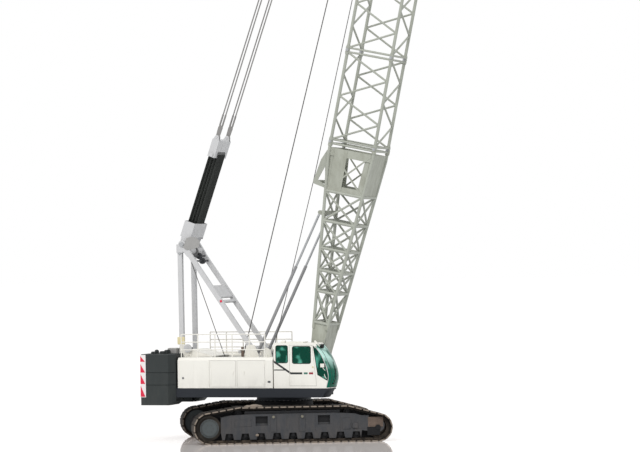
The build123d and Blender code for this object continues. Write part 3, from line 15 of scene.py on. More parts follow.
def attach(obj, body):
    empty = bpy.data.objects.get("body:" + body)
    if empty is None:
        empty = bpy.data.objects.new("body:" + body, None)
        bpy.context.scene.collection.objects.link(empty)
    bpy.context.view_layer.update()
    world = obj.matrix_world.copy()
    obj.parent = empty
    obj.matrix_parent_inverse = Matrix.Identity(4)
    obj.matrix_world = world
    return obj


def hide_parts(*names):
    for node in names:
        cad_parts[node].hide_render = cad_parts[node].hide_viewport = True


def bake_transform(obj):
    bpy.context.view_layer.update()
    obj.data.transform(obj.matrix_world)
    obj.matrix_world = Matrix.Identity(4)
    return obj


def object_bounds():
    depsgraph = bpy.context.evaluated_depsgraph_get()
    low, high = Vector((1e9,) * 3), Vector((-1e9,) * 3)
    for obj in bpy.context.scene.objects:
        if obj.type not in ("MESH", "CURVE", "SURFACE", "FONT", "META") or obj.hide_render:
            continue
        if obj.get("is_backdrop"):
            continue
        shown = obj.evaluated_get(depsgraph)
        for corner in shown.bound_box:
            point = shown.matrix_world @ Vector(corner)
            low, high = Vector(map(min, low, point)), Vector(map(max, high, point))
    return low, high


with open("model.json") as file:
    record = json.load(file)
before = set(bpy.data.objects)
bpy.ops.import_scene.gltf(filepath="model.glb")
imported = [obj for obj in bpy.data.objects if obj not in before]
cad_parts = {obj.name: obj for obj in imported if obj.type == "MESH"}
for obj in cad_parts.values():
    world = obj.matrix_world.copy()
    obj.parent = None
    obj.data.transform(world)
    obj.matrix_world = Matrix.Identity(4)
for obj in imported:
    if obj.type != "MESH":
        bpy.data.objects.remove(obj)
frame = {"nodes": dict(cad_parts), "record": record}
bpy.ops.object.select_all(action="DESELECT")
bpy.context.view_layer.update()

# %% [markdown]
# ## Where the photographer stood
# The verticals and the level lines of the real picture hardly run together, so the lens was long
# and far away: about 110 m off, at 6.5 m height, to the right of the nose. The picture leans a
# little, which is a roll of the camera.

# %% Camera
IMAGE_WIDTH = 640
PIXELS_PER_METRE = 30.1
CAMERA_DISTANCE = 110.0
CAMERA_HEIGHT = 6.5
CAMERA_AZIMUTH = radians(18.5)
CAMERA_ROLL = 0.0135
AIM_RIGHT = 1.275
AIM_UP = 0.55


def look_through_camera():
    """Adds the camera on the photographer's line and aims it a little right of the swing axis."""
    right = Vector((cos(CAMERA_AZIMUTH), sin(CAMERA_AZIMUTH), 0.0))
    away = Vector((sin(CAMERA_AZIMUTH), -cos(CAMERA_AZIMUTH), 0.0))
    place = away * CAMERA_DISTANCE + Vector((0.0, 0.0, CAMERA_HEIGHT))
    aim = right * AIM_RIGHT + Vector((0.0, 0.0, CAMERA_HEIGHT + AIM_UP))
    back = (place - aim).normalized()
    side = Vector((0.0, 0.0, 1.0)).cross(back).normalized()
    up = back.cross(side)
    level = Matrix((side, up, back)).transposed().to_4x4()
    bpy.ops.object.camera_add()
    camera = bpy.context.object
    camera.name = "photographer"
    camera.matrix_world = Matrix.Translation(place) @ level @ Matrix.Rotation(-CAMERA_ROLL, 4, "Z")
    camera.data.sensor_width = 36.0
    camera.data.lens = 36.0 * PIXELS_PER_METRE * CAMERA_DISTANCE / IMAGE_WIDTH
    camera.data.clip_end = 1000.0
    bpy.context.scene.camera = camera
    return camera


camera = look_through_camera()
print("lens", round(camera.data.lens), "mm, level with", CAMERA_HEIGHT, "m")

# %% [markdown]
# ## Floor and light
# A pale studio: a white surround for the camera and for what shines, and a floor that takes the
# shadow and mirrors the crane at a grazing look only. The sky light is even, and a wide sun gives
# the tubes a bright side.

# %% A helper for shader nodes
def node_in(tree, kind, inputs=None, **settings):
    """Adds a shader node. Each input takes a value or, given a socket, a link from it."""
    node = tree.nodes.new("ShaderNode" + kind)
    for key, value in settings.items():
        setattr(node, key, value)
    for key, value in (inputs or {}).items():
        if isinstance(value, bpy.types.NodeSocket):
            tree.links.new(value, node.inputs[key])
        else:
            node.inputs[key].default_value = value
    return node


print("nodes are added with their inputs")

# %% White surround
SKY_LIGHT = 0.93
WHITE = (1.0, 1.0, 1.0, 1.0)


def white_surround():
    """Makes the world light the crane evenly and look plain white behind it."""
    world = bpy.data.worlds.new("pale studio")
    bpy.context.scene.world = world
    world.use_nodes = True
    tree = world.node_tree
    tree.nodes.clear()
    ray = node_in(tree, "LightPath").outputs
    either = node_in(tree, "Math", {0: ray["Is Camera Ray"], 1: ray["Is Transmission Ray"]}, operation="MAXIMUM")
    any_of = node_in(tree, "Math", {0: either.outputs[0], 1: ray["Is Glossy Ray"]}, operation="MAXIMUM")
    light = node_in(tree, "Background", {"Color": (0.95, 0.965, 0.985, 1.0), "Strength": SKY_LIGHT})
    seen = node_in(tree, "Background", {"Color": WHITE})
    mix = node_in(tree, "MixShader", {0: any_of.outputs[0], 1: light.outputs[0], 2: seen.outputs[0]})
    node_in(tree, "OutputWorld", {"Surface": mix.outputs[0]})


bpy.context.scene.view_settings.view_transform = "Standard"
white_surround()
print("sky light", SKY_LIGHT)

# %% Floor
FLOOR_SIZE = 900.0
FLOOR_LIFT = 0.35
FLOOR_IOR = 1.45
FLOOR_GLOSS = 0.04


def pale_floor():
    """Lays the floor: it is lit and shaded, with a lift towards white for the camera, and mirrors at a
    grazing look."""
    bpy.ops.mesh.primitive_circle_add(vertices=96, radius=FLOOR_SIZE / 2, fill_type="NGON")
    floor = bpy.context.object
    floor.name = "floor"
    paint = bpy.data.materials.new("floor white")
    paint.use_nodes = True
    tree = paint.node_tree
    tree.nodes.clear()
    camera_ray = node_in(tree, "LightPath").outputs["Is Camera Ray"]
    lit = node_in(tree, "BsdfDiffuse", {"Color": (0.80, 0.80, 0.80, 1.0)})
    amount = node_in(tree, "Math", {0: camera_ray, 1: FLOOR_LIFT}, operation="MULTIPLY")
    lift = node_in(tree, "Emission", {"Color": (1.0, 0.78, 0.66, 1.0), "Strength": amount.outputs[0]})
    both = node_in(tree, "AddShader", {0: lit.outputs[0], 1: lift.outputs[0]})
    sheen = node_in(tree, "BsdfAnisotropic", {"Color": WHITE, "Roughness": FLOOR_GLOSS})
    grazing = node_in(tree, "Fresnel", {"IOR": FLOOR_IOR})
    share = node_in(tree, "Math", {0: camera_ray, 1: grazing.outputs[0]}, operation="MULTIPLY")
    polish = node_in(tree, "MixShader", {0: share.outputs[0], 1: both.outputs[0], 2: sheen.outputs[0]})
    node_in(tree, "OutputMaterial", {"Surface": polish.outputs[0]})
    floor.data.materials.append(paint)
    floor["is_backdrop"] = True


pale_floor()
print("floor", FLOOR_SIZE, "m across")

# %% Wide sun
SUN_LIGHT = 1.3
bpy.ops.object.light_add(type="SUN", rotation=(radians(48), radians(8), radians(-12)))
sun = bpy.context.object
sun.name = "wide sun"
sun.data.energy = SUN_LIGHT
sun.data.angle = radians(14)
sun.data.color = (1.0, 0.985, 0.96)
bpy.ops.object.select_all(action="DESELECT")
print("sun light", SUN_LIGHT)

# %% [markdown]
# ## Paint and metal
# Each finish is mixed once. Paint is never quite even: a broad cloud noise shifts its tone a little,
# and a second, finer one roughens its gloss. Grime gathers low down and in streaks, so the dirt
# mask follows height. All patterns read the piece's own object coordinates, so they stay in place
# on it in every view.

# %% A material with its own coordinates
paints = {}


def new_paint(name):
    """Starts a material under its name in the list of paints, with its own tree and object coordinates."""
    paint = bpy.data.materials.new(name.replace("_", " "))
    paint.use_nodes = True
    paints[name] = paint
    tree = paint.node_tree
    return tree, tree.nodes["Principled BSDF"], node_in(tree, "TexCoord").outputs["Object"]


print("paint box is open")

# %% Painted and metal finishes
def finish_of(name, colour, rough, metal=0.0, tone=0.05, scale=1.2, grime=None, low=0.0, high=1.0,
              amount=0.0, bump=0.0, shine=0.5):
    """Mixes one finish: a base colour with tone clouds, roughness noise and, if asked, grime that
    fades out between two heights."""
    tree, shader, place = new_paint(name)
    shader.inputs["Metallic"].default_value = metal
    shader.inputs["Specular IOR Level"].default_value = shine
    cloud = node_in(tree, "TexNoise", {"Vector": place, "Scale": scale, "Detail": 6.0})
    dark = (*[c * (1.0 - tone) for c in colour], 1.0)
    pale = (*[min(1.0, c * (1.0 + tone)) for c in colour], 1.0)
    colour_out = node_in(tree, "Mix", {0: cloud.outputs["Fac"], 6: dark, 7: pale}, data_type="RGBA").outputs[2]
    if grime:
        height = node_in(tree, "SeparateXYZ", {0: place}).outputs["Z"]
        fade = node_in(tree, "MapRange", {"Value": height, "From Min": high, "From Max": low})
        stretch = node_in(tree, "Mapping", {"Vector": place, "Scale": (1.6, 1.6, 0.5)})
        streak = node_in(tree, "TexNoise", {"Vector": stretch.outputs["Vector"], "Scale": 3.0, "Detail": 8.0,
                                            "Roughness": 0.65})
        spread = node_in(tree, "MapRange", {"Value": streak.outputs["Fac"], "From Min": 0.38, "From Max": 0.66})
        both = node_in(tree, "Math", {0: fade.outputs["Result"], 1: spread.outputs["Result"]}, operation="MULTIPLY")
        weight = node_in(tree, "Math", {0: both.outputs[0], 1: amount}, operation="MULTIPLY")
        colour_out = node_in(tree, "Mix", {0: weight.outputs[0], 6: colour_out, 7: (*grime, 1.0)},
                             data_type="RGBA").outputs[2]
    tree.links.new(colour_out, shader.inputs["Base Color"])
    fine = node_in(tree, "TexNoise", {"Vector": place, "Scale": scale * 9.0, "Detail": 4.0}).outputs["Fac"]
    gloss = node_in(tree, "MapRange", {"Value": fine, "To Min": max(0.03, rough - 0.07),
                                       "To Max": min(1.0, rough + 0.09)})
    tree.links.new(gloss.outputs["Result"], shader.inputs["Roughness"])
    if bump:
        relief = node_in(tree, "Bump", {"Height": fine, "Strength": bump, "Distance": 0.01})
        tree.links.new(relief.outputs["Normal"], shader.inputs["Normal"])


print("finishes mix clouds, grime and gloss")

# %% Tinted glass with painted reflections
def glass_of(name, deep, bright, above=None):
    """Mixes tinted cab glass: deep green and only partly see-through, with clouds of a brighter green
    painted in as reflections of the yard, only above a height if one is given."""
    tree, shader, place = new_paint(name)
    cloud = node_in(tree, "TexNoise", {"Vector": place, "Scale": 2.6, "Detail": 1.5})
    low, high = (0.36, 0.56) if above else (0.50, 0.64)
    share = node_in(tree, "MapRange", {"Value": cloud.outputs["Fac"], "From Min": low, "From Max": high},
                    interpolation_type="SMOOTHSTEP").outputs["Result"]
    if above:
        height = node_in(tree, "SeparateXYZ", {0: place}).outputs["Z"]
        rise = node_in(tree, "MapRange", {"Value": height, "From Min": above, "From Max": above + 0.4})
        share = node_in(tree, "Math", {0: rise.outputs["Result"], 1: share}, operation="MULTIPLY").outputs[0]
    tint = node_in(tree, "Mix", {0: share, 6: (*deep, 1.0), 7: (*bright, 1.0)}, data_type="RGBA")
    tree.links.new(tint.outputs[2], shader.inputs["Base Color"])
    for key, value in (("Roughness", 0.1), ("Specular IOR Level", 0.12), ("Alpha", 0.93)):
        shader.inputs[key].default_value = value


print("glass mixes two greens")

# %% Every finish of the crane
DUST = (0.30, 0.23, 0.17)
finish_of("house_white", (0.785, 0.765, 0.705), 0.42, tone=0.02, grime=(0.42, 0.40, 0.36), low=1.7, high=2.3,
          amount=0.25)
finish_of("rail_cream", (0.74, 0.72, 0.66), 0.5, tone=0.03)
finish_of("boom_grey", (0.36, 0.375, 0.325), 0.5, tone=0.07, scale=0.8, grime=(0.17, 0.165, 0.13), low=2.0,
          high=40.0, amount=0.25)
finish_of("butt_grey", (0.365, 0.378, 0.322), 0.55, tone=0.1, scale=2.0, grime=(0.185, 0.185, 0.14), low=2.0,
          high=40.0, amount=0.55)
finish_of("rigging_grey", (0.53, 0.53, 0.535), 0.48, tone=0.06, scale=1.6, grime=(0.36, 0.35, 0.33), low=-2.0,
          high=14.0, amount=0.35)
finish_of("frame_slate", (0.048, 0.05, 0.055), 0.5, tone=0.12, grime=DUST, low=0.2, high=1.5, amount=0.12, shine=0.2)
# A darker slate for the upper frame's band under the house: painted shade.
finish_of("band_shade_slate", (0.020, 0.023, 0.029), 0.5, tone=0.1, shine=0.2)
finish_of("drive_dust", (0.058, 0.050, 0.042), 0.7, tone=0.2, scale=3.0, shine=0.2)
finish_of("backstop_grey", (0.25, 0.25, 0.255), 0.45, tone=0.05)
finish_of("bright_rod", (0.45, 0.46, 0.47), 0.28, metal=1.0, tone=0.03)
finish_of("weight_dark", (0.032, 0.037, 0.037), 0.62, tone=0.12, scale=2.5, bump=0.15, grime=(0.10, 0.10, 0.09),
          low=1.2, high=3.2, amount=0.15, shine=0.2)
finish_of("track_steel", (0.024, 0.020, 0.017), 0.75, tone=0.3, scale=4.0, bump=0.35, grime=DUST, low=-0.2, high=0.9,
          amount=0.4, shine=0.15)
finish_of("bearing_steel", (0.20, 0.20, 0.20), 0.4, metal=0.8)
finish_of("drum_steel", (0.16, 0.165, 0.17), 0.45, metal=0.4)
finish_of("rope_steel", (0.12, 0.115, 0.11), 0.5, metal=0.7, tone=0.1, scale=6.0)
finish_of("rope_black", (0.014, 0.017, 0.014), 0.6, tone=0.15, scale=6.0)
finish_of("engine_grey", (0.10, 0.105, 0.11), 0.55, tone=0.1)
finish_of("knob_tan", (0.18, 0.165, 0.125), 0.7, tone=0.15, scale=8.0)
finish_of("seat_fabric", (0.02, 0.02, 0.023), 0.9, tone=0.15, scale=20.0, bump=0.2)
finish_of("hook_paint", (0.36, 0.375, 0.325), 0.5, tone=0.07)
finish_of("hook_steel", (0.05, 0.05, 0.052), 0.5, metal=0.5, tone=0.1)
finish_of("marker_white", (0.74, 0.70, 0.69), 0.45, tone=0.03)
finish_of("marker_red", (0.62, 0.006, 0.045), 0.4, tone=0.05)
finish_of("hub_slate", (0.072, 0.082, 0.084), 0.6, tone=0.12, scale=3.0, shine=0.2)
finish_of("mast_shade", (0.30, 0.295, 0.285), 0.55, tone=0.12, scale=4.0)
finish_of("pendant_grey", (0.22, 0.213, 0.205), 0.5, tone=0.08, scale=6.0)
finish_of("lamp_cream", (0.68, 0.60, 0.36), 0.5, tone=0.04)
finish_of("shoe_dust", (0.22, 0.18, 0.145), 0.9, tone=0.25, scale=5.0, bump=0.3)
finish_of("yoke_dust", (0.12, 0.085, 0.065), 0.8, tone=0.3, scale=4.0, bump=0.2)
# Near-black rubber; the same black is painted shade on the carbody, the swing ring, the rollers and inside the tracks.
finish_of("black_rubber_and_shade", (0.012, 0.012, 0.013), 0.7, tone=0.1, scale=6.0, shine=0.2)
# Both glasses carry painted reflections in their colour; on the windscreen they lie high up only.
glass_of("glass_green", (0.0, 0.05, 0.03), (0.08, 0.34, 0.25))
glass_of("screen_green", (0.0, 0.115, 0.07), (0.50, 0.76, 0.68), 2.35)
print(len(paints), "finishes mixed")

# %% Finishes on the solid model, with painted shade under the deck and between the tracks
# The upper frame, the swing ring, the carbody and the rollers lie in shade, so their near-black paint is painted shade.
FINISH_AND_SHADE_OF = {"upper_frame": "band_shade_slate", "boom_butt": "butt_grey", "pendants": "pendant_grey",
                "swing_ring": "black_rubber_and_shade", "carbody": "black_rubber_and_shade",
                "drive_sprockets": "drive_dust", "rollers": "black_rubber_and_shade"}
for part in frame["record"]["subparts"]:
    node = frame["nodes"][part["node"]]
    node.data.materials.clear()
    node.data.materials.append(paints[FINISH_AND_SHADE_OF.get(part["node"], part["material_slot"])])
print(len(frame["nodes"]), "nodes painted")

# %% [markdown]
# ## Small workshop helpers
# Every piece is modelled the same way: a primitive is put at its size and place, shaped, and then
# its place is moved into its mesh so that patterns and poses stay true. These few helpers keep the
# cells below short. A tube is modelled once at one metre, and each copy is stretched to its run.

# %% Select, reshape and settle
def alone(piece):
    """Selects one piece and nothing else, and makes it active."""
    bpy.ops.object.select_all(action="DESELECT")
    piece.select_set(True)
    bpy.context.view_layer.objects.active = piece


def reshaped(piece, step, **settings):
    """Runs one mesh operator on the whole of a piece."""
    alone(piece)
    bpy.ops.object.mode_set(mode="EDIT")
    bpy.ops.mesh.select_all(action="SELECT")
    step(**settings)
    bpy.ops.object.mode_set(mode="OBJECT")


def settle(piece, name, body, finish):
    """Names a finished piece, moves its place into its mesh, paints it and hangs it on a body. What is
    blended between two bodies is given none here."""
    alone(piece)
    bpy.ops.object.transform_apply(location=True, rotation=True, scale=True)
    piece.name = name
    piece.data.name = name
    piece.data.materials.clear()
    piece.data.materials.append(paints[finish])
    if body:
        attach(piece, body)
    bpy.ops.object.select_all(action="DESELECT")
    return piece


# %% Join and copy
def joined(pieces):
    """Joins pieces into the first one."""
    bpy.ops.object.select_all(action="DESELECT")
    for piece in pieces:
        piece.select_set(True)
    bpy.context.view_layer.objects.active = pieces[0]
    if len(pieces) > 1:
        bpy.ops.object.join()
    return pieces[0]


def copied(master, places):
    """Puts a copy of a piece, with its own mesh, at each place, and joins the copies."""
    made = []
    for place in places:
        twin = master.copy()
        twin.data = master.data.copy()
        twin.data.transform(place)
        bpy.context.collection.objects.link(twin)
        made.append(twin)
    bpy.data.objects.remove(master)
    return joined(made)


print("copies have their own mesh")

# %% Round tubes
def master_tube(sides=16):
    """A round tube, one metre long and one in radius, that stands on the origin."""
    bpy.ops.mesh.primitive_cylinder_add(vertices=sides, radius=1.0, depth=1.0, location=(0, 0, 0.5))
    tube = bpy.context.object
    bpy.ops.object.transform_apply(location=True)
    bpy.ops.object.shade_smooth_by_angle(angle=radians(40))
    return tube


def run_between(start, end, radius):
    """The place of a master tube that runs from one point to another."""
    start, end = Vector(start), Vector(end)
    turn = (end - start).to_track_quat("Z", "X").to_matrix().to_4x4()
    return Matrix.Translation(start) @ turn @ Matrix.Diagonal((radius, radius, (end - start).length, 1.0))


def tubes(runs, sides=16):
    """Round tubes, each given as start, end and radius, joined in one piece."""
    return copied(master_tube(sides), [run_between(*run) for run in runs])


print("a tube runs from point to point")

# %% [markdown]
# ## The lattice boom's tubes
# A real boom is welded from round tubes: four chords and thin lacing that zigzags between them on
# every face. The three inserts are nothing but tubes, so here they are built anew from round ones.
# The foot and the head have plates as well, which stay, and their tubes get round skins.

# %% The boom's own axes
BOOM_LEAN = radians(11.84)
boom_axes = Matrix.Translation((1.18, 0.0, 2.21)) @ Matrix.Rotation(BOOM_LEAN, 4, "Y")
SECTION = 1.524
CHORD = 0.052
LACING = 0.033
TAPER_TOP = 7.25
FOOT_DEPTH, FOOT_WIDTH = 0.19, 1.08
PIN_LEVELS = (7.62, 10.668, 16.764, 28.956)
SECTIONS = ("boom_insert_short", "boom_insert_medium", "boom_insert_long")
BUTT_TOP, HEAD_START, HEAD_END = PIN_LEVELS[0], PIN_LEVELS[-1], 36.576
FACES = (((-1, -1), (1, -1)), ((1, 1), (-1, 1)), ((-1, 1), (-1, -1)), ((1, -1), (1, 1)))
CHORDS = ((-1, -1), (1, -1), (1, 1), (-1, 1))


def boom_corner(height, front, left):
    """A chord's centre at a height above the foot pin, in the crane's axes."""
    share = min(max(height / TAPER_TOP, 0.0), 1.0)
    deep = FOOT_DEPTH + (SECTION - FOOT_DEPTH) * share
    wide = FOOT_WIDTH + (SECTION - FOOT_WIDTH) * share
    return boom_axes @ Vector((front * deep / 2, left * wide / 2, height))


def zigzag(low, high, radius):
    """The lacing of a straight section, from chord to chord on each face."""
    bays = max(2, round((high - low) / 0.762))
    runs = []
    for even, odd in FACES:
        for bay in range(bays):
            near, far = (even, odd) if bay % 2 == 0 else (odd, even)
            runs.append((boom_corner(low + (high - low) * bay / bays, *near),
                         boom_corner(low + (high - low) * (bay + 1) / bays, *far), radius))
    return runs


def square(height, radius):
    """Four cross tubes round the boom."""
    return [(boom_corner(height, *a), boom_corner(height, *b), radius) for a, b in FACES]


def on_chords(low, high, radius):
    """Four tubes along the chords between two heights."""
    return [(boom_corner(low, *c), boom_corner(high, *c), radius) for c in CHORDS]


print("boom leans", round(degrees(BOOM_LEAN), 2), "degrees")

# %% Straight sections in round tube
SECTION_GAP = 0.0003
END_RING = 0.07
for node, start, high in zip(SECTIONS, PIN_LEVELS, PIN_LEVELS[1:]):
    low = start + SECTION_GAP
    ring_low, ring_high = low + END_RING, high - END_RING
    runs = on_chords(low, high, CHORD)
    runs += zigzag(ring_low, ring_high, LACING) + square(ring_low, LACING) + square(ring_high, LACING)
    for inner, outer, radius in ((0.0, 0.15, 0.066), (0.035, 0.11, 0.074)):
        runs += on_chords(low + inner, low + outer, radius) + on_chords(high - outer, high - inner, radius)
    piece = settle(tubes(runs), node.replace("boom_insert", "round_tubes"), "boom", "boom_grey")
    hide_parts(node)
    print(node, len(runs), "tubes,", len(piece.data.polygons), "faces")

# %% Round skins on the foot and the head section
BUTT_STATIONS = (1.67, 2.7, 3.39, 4.12, 5.02, 6.0)
SKIN_CHORD, SKIN_LACING, SKIN_STATION = 0.0535, 0.0345, 0.0495
FOOT_PLATES_END = 1.72
runs = on_chords(FOOT_PLATES_END, TAPER_TOP, SKIN_CHORD) + on_chords(TAPER_TOP, BUTT_TOP, SKIN_CHORD)
for height in BUTT_STATIONS:
    runs += square(height, SKIN_STATION)
for low, high in zip(BUTT_STATIONS, BUTT_STATIONS[1:]):
    for even, odd in FACES:
        runs.append((boom_corner(low, *even), boom_corner(high, *odd), SKIN_LACING))
        runs.append((boom_corner(low, *odd), boom_corner(high, *even), SKIN_LACING))
runs += square(BUTT_TOP - 0.06, SKIN_LACING)
settle(tubes(runs), "round_tubes_foot", "boom", "boom_grey")
ring_low, ring_high = HEAD_START + SECTION_GAP + END_RING, HEAD_END - 2.3
runs = on_chords(HEAD_START, HEAD_END - 1.6, SKIN_CHORD)
runs += zigzag(ring_low, ring_high, SKIN_LACING) + square(ring_low, SKIN_LACING) + square(ring_high, SKIN_LACING)
settle(tubes(runs), "round_tubes_head", "boom", "boom_grey")
print("foot and head skins done")

# %% [markdown]
# ## Pins where the sections meet
# At every joint four pins pass through the ends of the chords, each a bar with a collar on both
# sides: sixteen pins in all.

# %% Section pins
def shaft(x, z, y, radius):
    """The run of a pin, shaft or wheel along Y, between two Y values."""
    return (x, y[0], z), (x, y[1], z), radius


runs = []
for height in PIN_LEVELS:
    for chord in CHORDS:
        x, y, z = boom_corner(height, *chord)
        for low, high, radius in ((-0.115, 0.115, 0.03), (-0.1, -0.082, 0.05), (0.082, 0.1, 0.05)):
            runs.append(shaft(x, z, (y + low, y + high), radius))
settle(tubes(runs, 12), "section_pins", "boom", "bright_rod")
print(len(PIN_LEVELS) * 4, "pins")

# %% Added plate on the near side of the plated ring
def plate_between(front, back):
    """A closed plate between two outlines with as many points."""
    count = len(front)
    faces = [tuple(range(count)), tuple(reversed(range(count, 2 * count)))]
    faces += [((i + 1) % count, i, i + count, (i + 1) % count + count) for i in range(count)]
    mesh = bpy.data.meshes.new("plate")
    mesh.from_pydata([*front, *back], [], faces)
    piece = bpy.data.objects.new("plate", mesh)
    bpy.context.collection.objects.link(piece)
    reshaped(piece, bpy.ops.mesh.normals_make_consistent, inside=False)
    return piece


RING_LOW, RING_HIGH = 6.0, 7.43
PLATE_X = (-0.56, -0.12)
ring_ends = ((RING_LOW, FOOT_WIDTH + (SECTION - FOOT_WIDTH) * RING_LOW / TAPER_TOP), (RING_HIGH, SECTION))
outline = [(PLATE_X[0], *ring_ends[0]), (PLATE_X[1], *ring_ends[0]), (PLATE_X[1], *ring_ends[1]),
           (PLATE_X[0], *ring_ends[1])]
sheets = [[boom_axes @ Vector((x, -wide / 2 - out, height)) for x, height, wide in outline] for out in (0.011, 0.021)]
settle(plate_between(*sheets), "ring_plates_near", "boom", "butt_grey")
print("near plate on the ring")

# %% [markdown]
# ## Ropes of the boom hoist
# Between the gantry's bail and the floating bridle the rope runs up and back over large and small
# sheaves, its parts so close together that they read as one dark band. The band doesn't bend: it
# only grows longer when the boom goes down, and it hangs on no body here.

# %% The stay line and its ropes
PIN_X, PIN_Z = -3.27, 6.5
STAY_SET, STAY_REACH = 1.05, 36.0
boom_end = boom_axes @ Vector((-STAY_SET, 0.0, STAY_REACH))
stay_lean = atan2(boom_end.x - PIN_X, boom_end.z - PIN_Z)
STAY_LENGTH = hypot(boom_end.x - PIN_X, boom_end.z - PIN_Z)
stay_axes = Matrix.Translation((PIN_X, 0.0, PIN_Z)) @ Matrix.Rotation(stay_lean, 4, "Y")
ROPE = 0.013
BAND_HALF, BAND_PARTS = 0.33, 13
BAND_Y = [-BAND_HALF + 2 * BAND_HALF * part / (BAND_PARTS - 1) for part in range(BAND_PARTS)]
BAIL_REACH, BRIDLE_REACH = 0.53, 3.2
BAND_DEPTH = 0.1533


def on_stay(x, y, z):
    """A point of the stay line's own axes in the crane's axes."""
    return stay_axes @ Vector((x, y, z))


runs = []
for x in [BAND_DEPTH * share for share in (-1.0, -0.34, 0.34, 1.0)]:
    runs += [(on_stay(x, y, BAIL_REACH), on_stay(x, y, BRIDLE_REACH), ROPE) for y in BAND_Y]
band = settle(tubes(runs, 8), "hoist_rope_band", None, "rope_black")
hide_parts("reeving")
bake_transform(band)
print(len(runs), "rope parts, stay leans", round(degrees(stay_lean), 2))

# %% Sheaves in the bail and the bridle, and the pendants' wires
WHEEL_PARTS = ((-0.022, 0.012, 0.152), (0.010, 0.012, 0.152), (-0.012, 0.024, 0.138))
for z, body in ((BAIL_REACH, "stay"), (BRIDLE_REACH, "bridle")):
    wheels = tubes([(on_stay(0, y + shift, z), on_stay(0, y + shift + wide, z), radius)
                    for y in BAND_Y for shift, wide, radius in WHEEL_PARTS], 24)
    settle(wheels, "band_sheaves_" + body, body, "bearing_steel")
PENDANT_LOW, PENDANT_HIGH, PENDANT_STEPS = 4.06, STAY_LENGTH - 0.3, 20
pendant_runs = []
for x in (-0.046, 0.046):
    for side in (-1, 1):
        a, b = on_stay(x, side * 0.5, PENDANT_LOW), on_stay(x, side * 0.5, PENDANT_HIGH)
        pendant_runs += [(a.lerp(b, i / PENDANT_STEPS), a.lerp(b, (i + 1) / PENDANT_STEPS), 0.0215)
                         for i in range(PENDANT_STEPS)]
settle(tubes(pendant_runs, 10), "pendant_wires", "bridle", "pendant_grey")
print("sheaves set")

# %% [markdown]
# ## Drums with rope on them, and the lines that leave them
# A winch is mostly rope: turns lie side by side round the drum. One turn is a thin torus, copied
# along the drum. From the two load winches a line runs up behind the boom to its head, and from
# the boom hoist a line runs up to the gantry's head. They pass from the deck to the boom, so they
# hang on no body here. Bolts stand round each drum's rims: one bevelled hexagon on its washer is
# modelled, and its copies face out of the surface.

# %% Bolt heads
def facing(point, direction):
    """A place whose Z axis looks along a direction."""
    return Matrix.Translation(Vector(point)) @ Vector(direction).to_track_quat("Z", "X").to_matrix().to_4x4()


def around(count, radius):
    """Points evenly round the origin."""
    return [(radius * cos(2 * pi * i / count), radius * sin(2 * pi * i / count)) for i in range(count)]


def bolt_heads(places, radius, height):
    """Hexagon heads on their washers; each place's Z axis points out of the surface."""
    bpy.ops.mesh.primitive_cylinder_add(vertices=6, radius=radius, depth=height, location=(0, 0, height / 2))
    head = bpy.context.object
    reshaped(head, bpy.ops.mesh.bevel, offset=height * 0.18, segments=1)
    bpy.ops.object.transform_apply(location=True)
    bpy.ops.mesh.primitive_cylinder_add(vertices=12, radius=radius * 1.35, depth=height * 0.24,
                                        location=(0, 0, height * 0.12))
    washer = bpy.context.object
    bpy.ops.object.transform_apply(location=True)
    return copied(joined([head, washer]), places)


print("a bolt head faces out of its surface")

# %% Turns of rope on the drums
DRUMS = {"front_drum": (-0.2, 0.24), "rear_drum": (-1.25, 0.24), "boom_hoist_drum": (-2.2, 0.2)}
DRUM_HALF = 0.5
DRUM_Z = 2.29
DRUM_ROPE = 0.014
for name, (x, radius) in DRUMS.items():
    turns = int(DRUM_HALF / DRUM_ROPE) - 1
    bpy.ops.mesh.primitive_torus_add(major_radius=radius + DRUM_ROPE + 0.028, minor_radius=DRUM_ROPE,
                                     major_segments=40, minor_segments=6, rotation=(pi / 2, 0, 0))
    turn = bpy.context.object
    bpy.ops.object.transform_apply(rotation=True)
    bpy.ops.object.shade_smooth()
    places = [Matrix.Translation((x, (i - (turns - 1) / 2) * 2 * DRUM_ROPE, DRUM_Z)) for i in range(turns)]
    settle(copied(turn, places), name + "_rope", name, "rope_steel")
    bpy.ops.mesh.primitive_cylinder_add(vertices=40, radius=radius + 0.03, depth=2 * DRUM_HALF + 0.04,
                                        location=(x, 0, DRUM_Z), rotation=(pi / 2, 0, 0))
    core = bpy.context.object
    bpy.ops.object.shade_smooth_by_angle(angle=radians(40))
    rims = bolt_heads([facing((x + dx, side * 0.541, DRUM_Z + dz), (0, side, 0))
                       for dx, dz in around(12, radius + 0.07) for side in (-1, 1)], 0.012, 0.01)
    settle(joined([core, rims]), name + "_core", name, "drum_steel")
    print(name, turns, "turns")

# %% Lines from the drums
GUIDE = (-1.153, -0.6, 6.215)
JOINT_GUIDE = (-0.845, -0.6, 16.764)


def on_boom(x, y, z):
    """A point of the boom's own axes in the crane's axes."""
    return boom_axes @ Vector((x, y, z))


def line_up_the_boom(name, points, radius):
    """A hoist line along points, from the deck up the boom; it hangs on no body."""
    pieces = []
    for here, there in zip(points, points[1:]):
        steps = max(1, round((Vector(there) - Vector(here)).length / 1.5))
        for step in range(steps):
            a = Vector(here).lerp(Vector(there), step / steps)
            b = Vector(here).lerp(Vector(there), (step + 1) / steps)
            pieces.append((a, b, radius))
    line = settle(tubes(pieces, 10), name, None, "rope_steel")
    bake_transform(line)
    return line


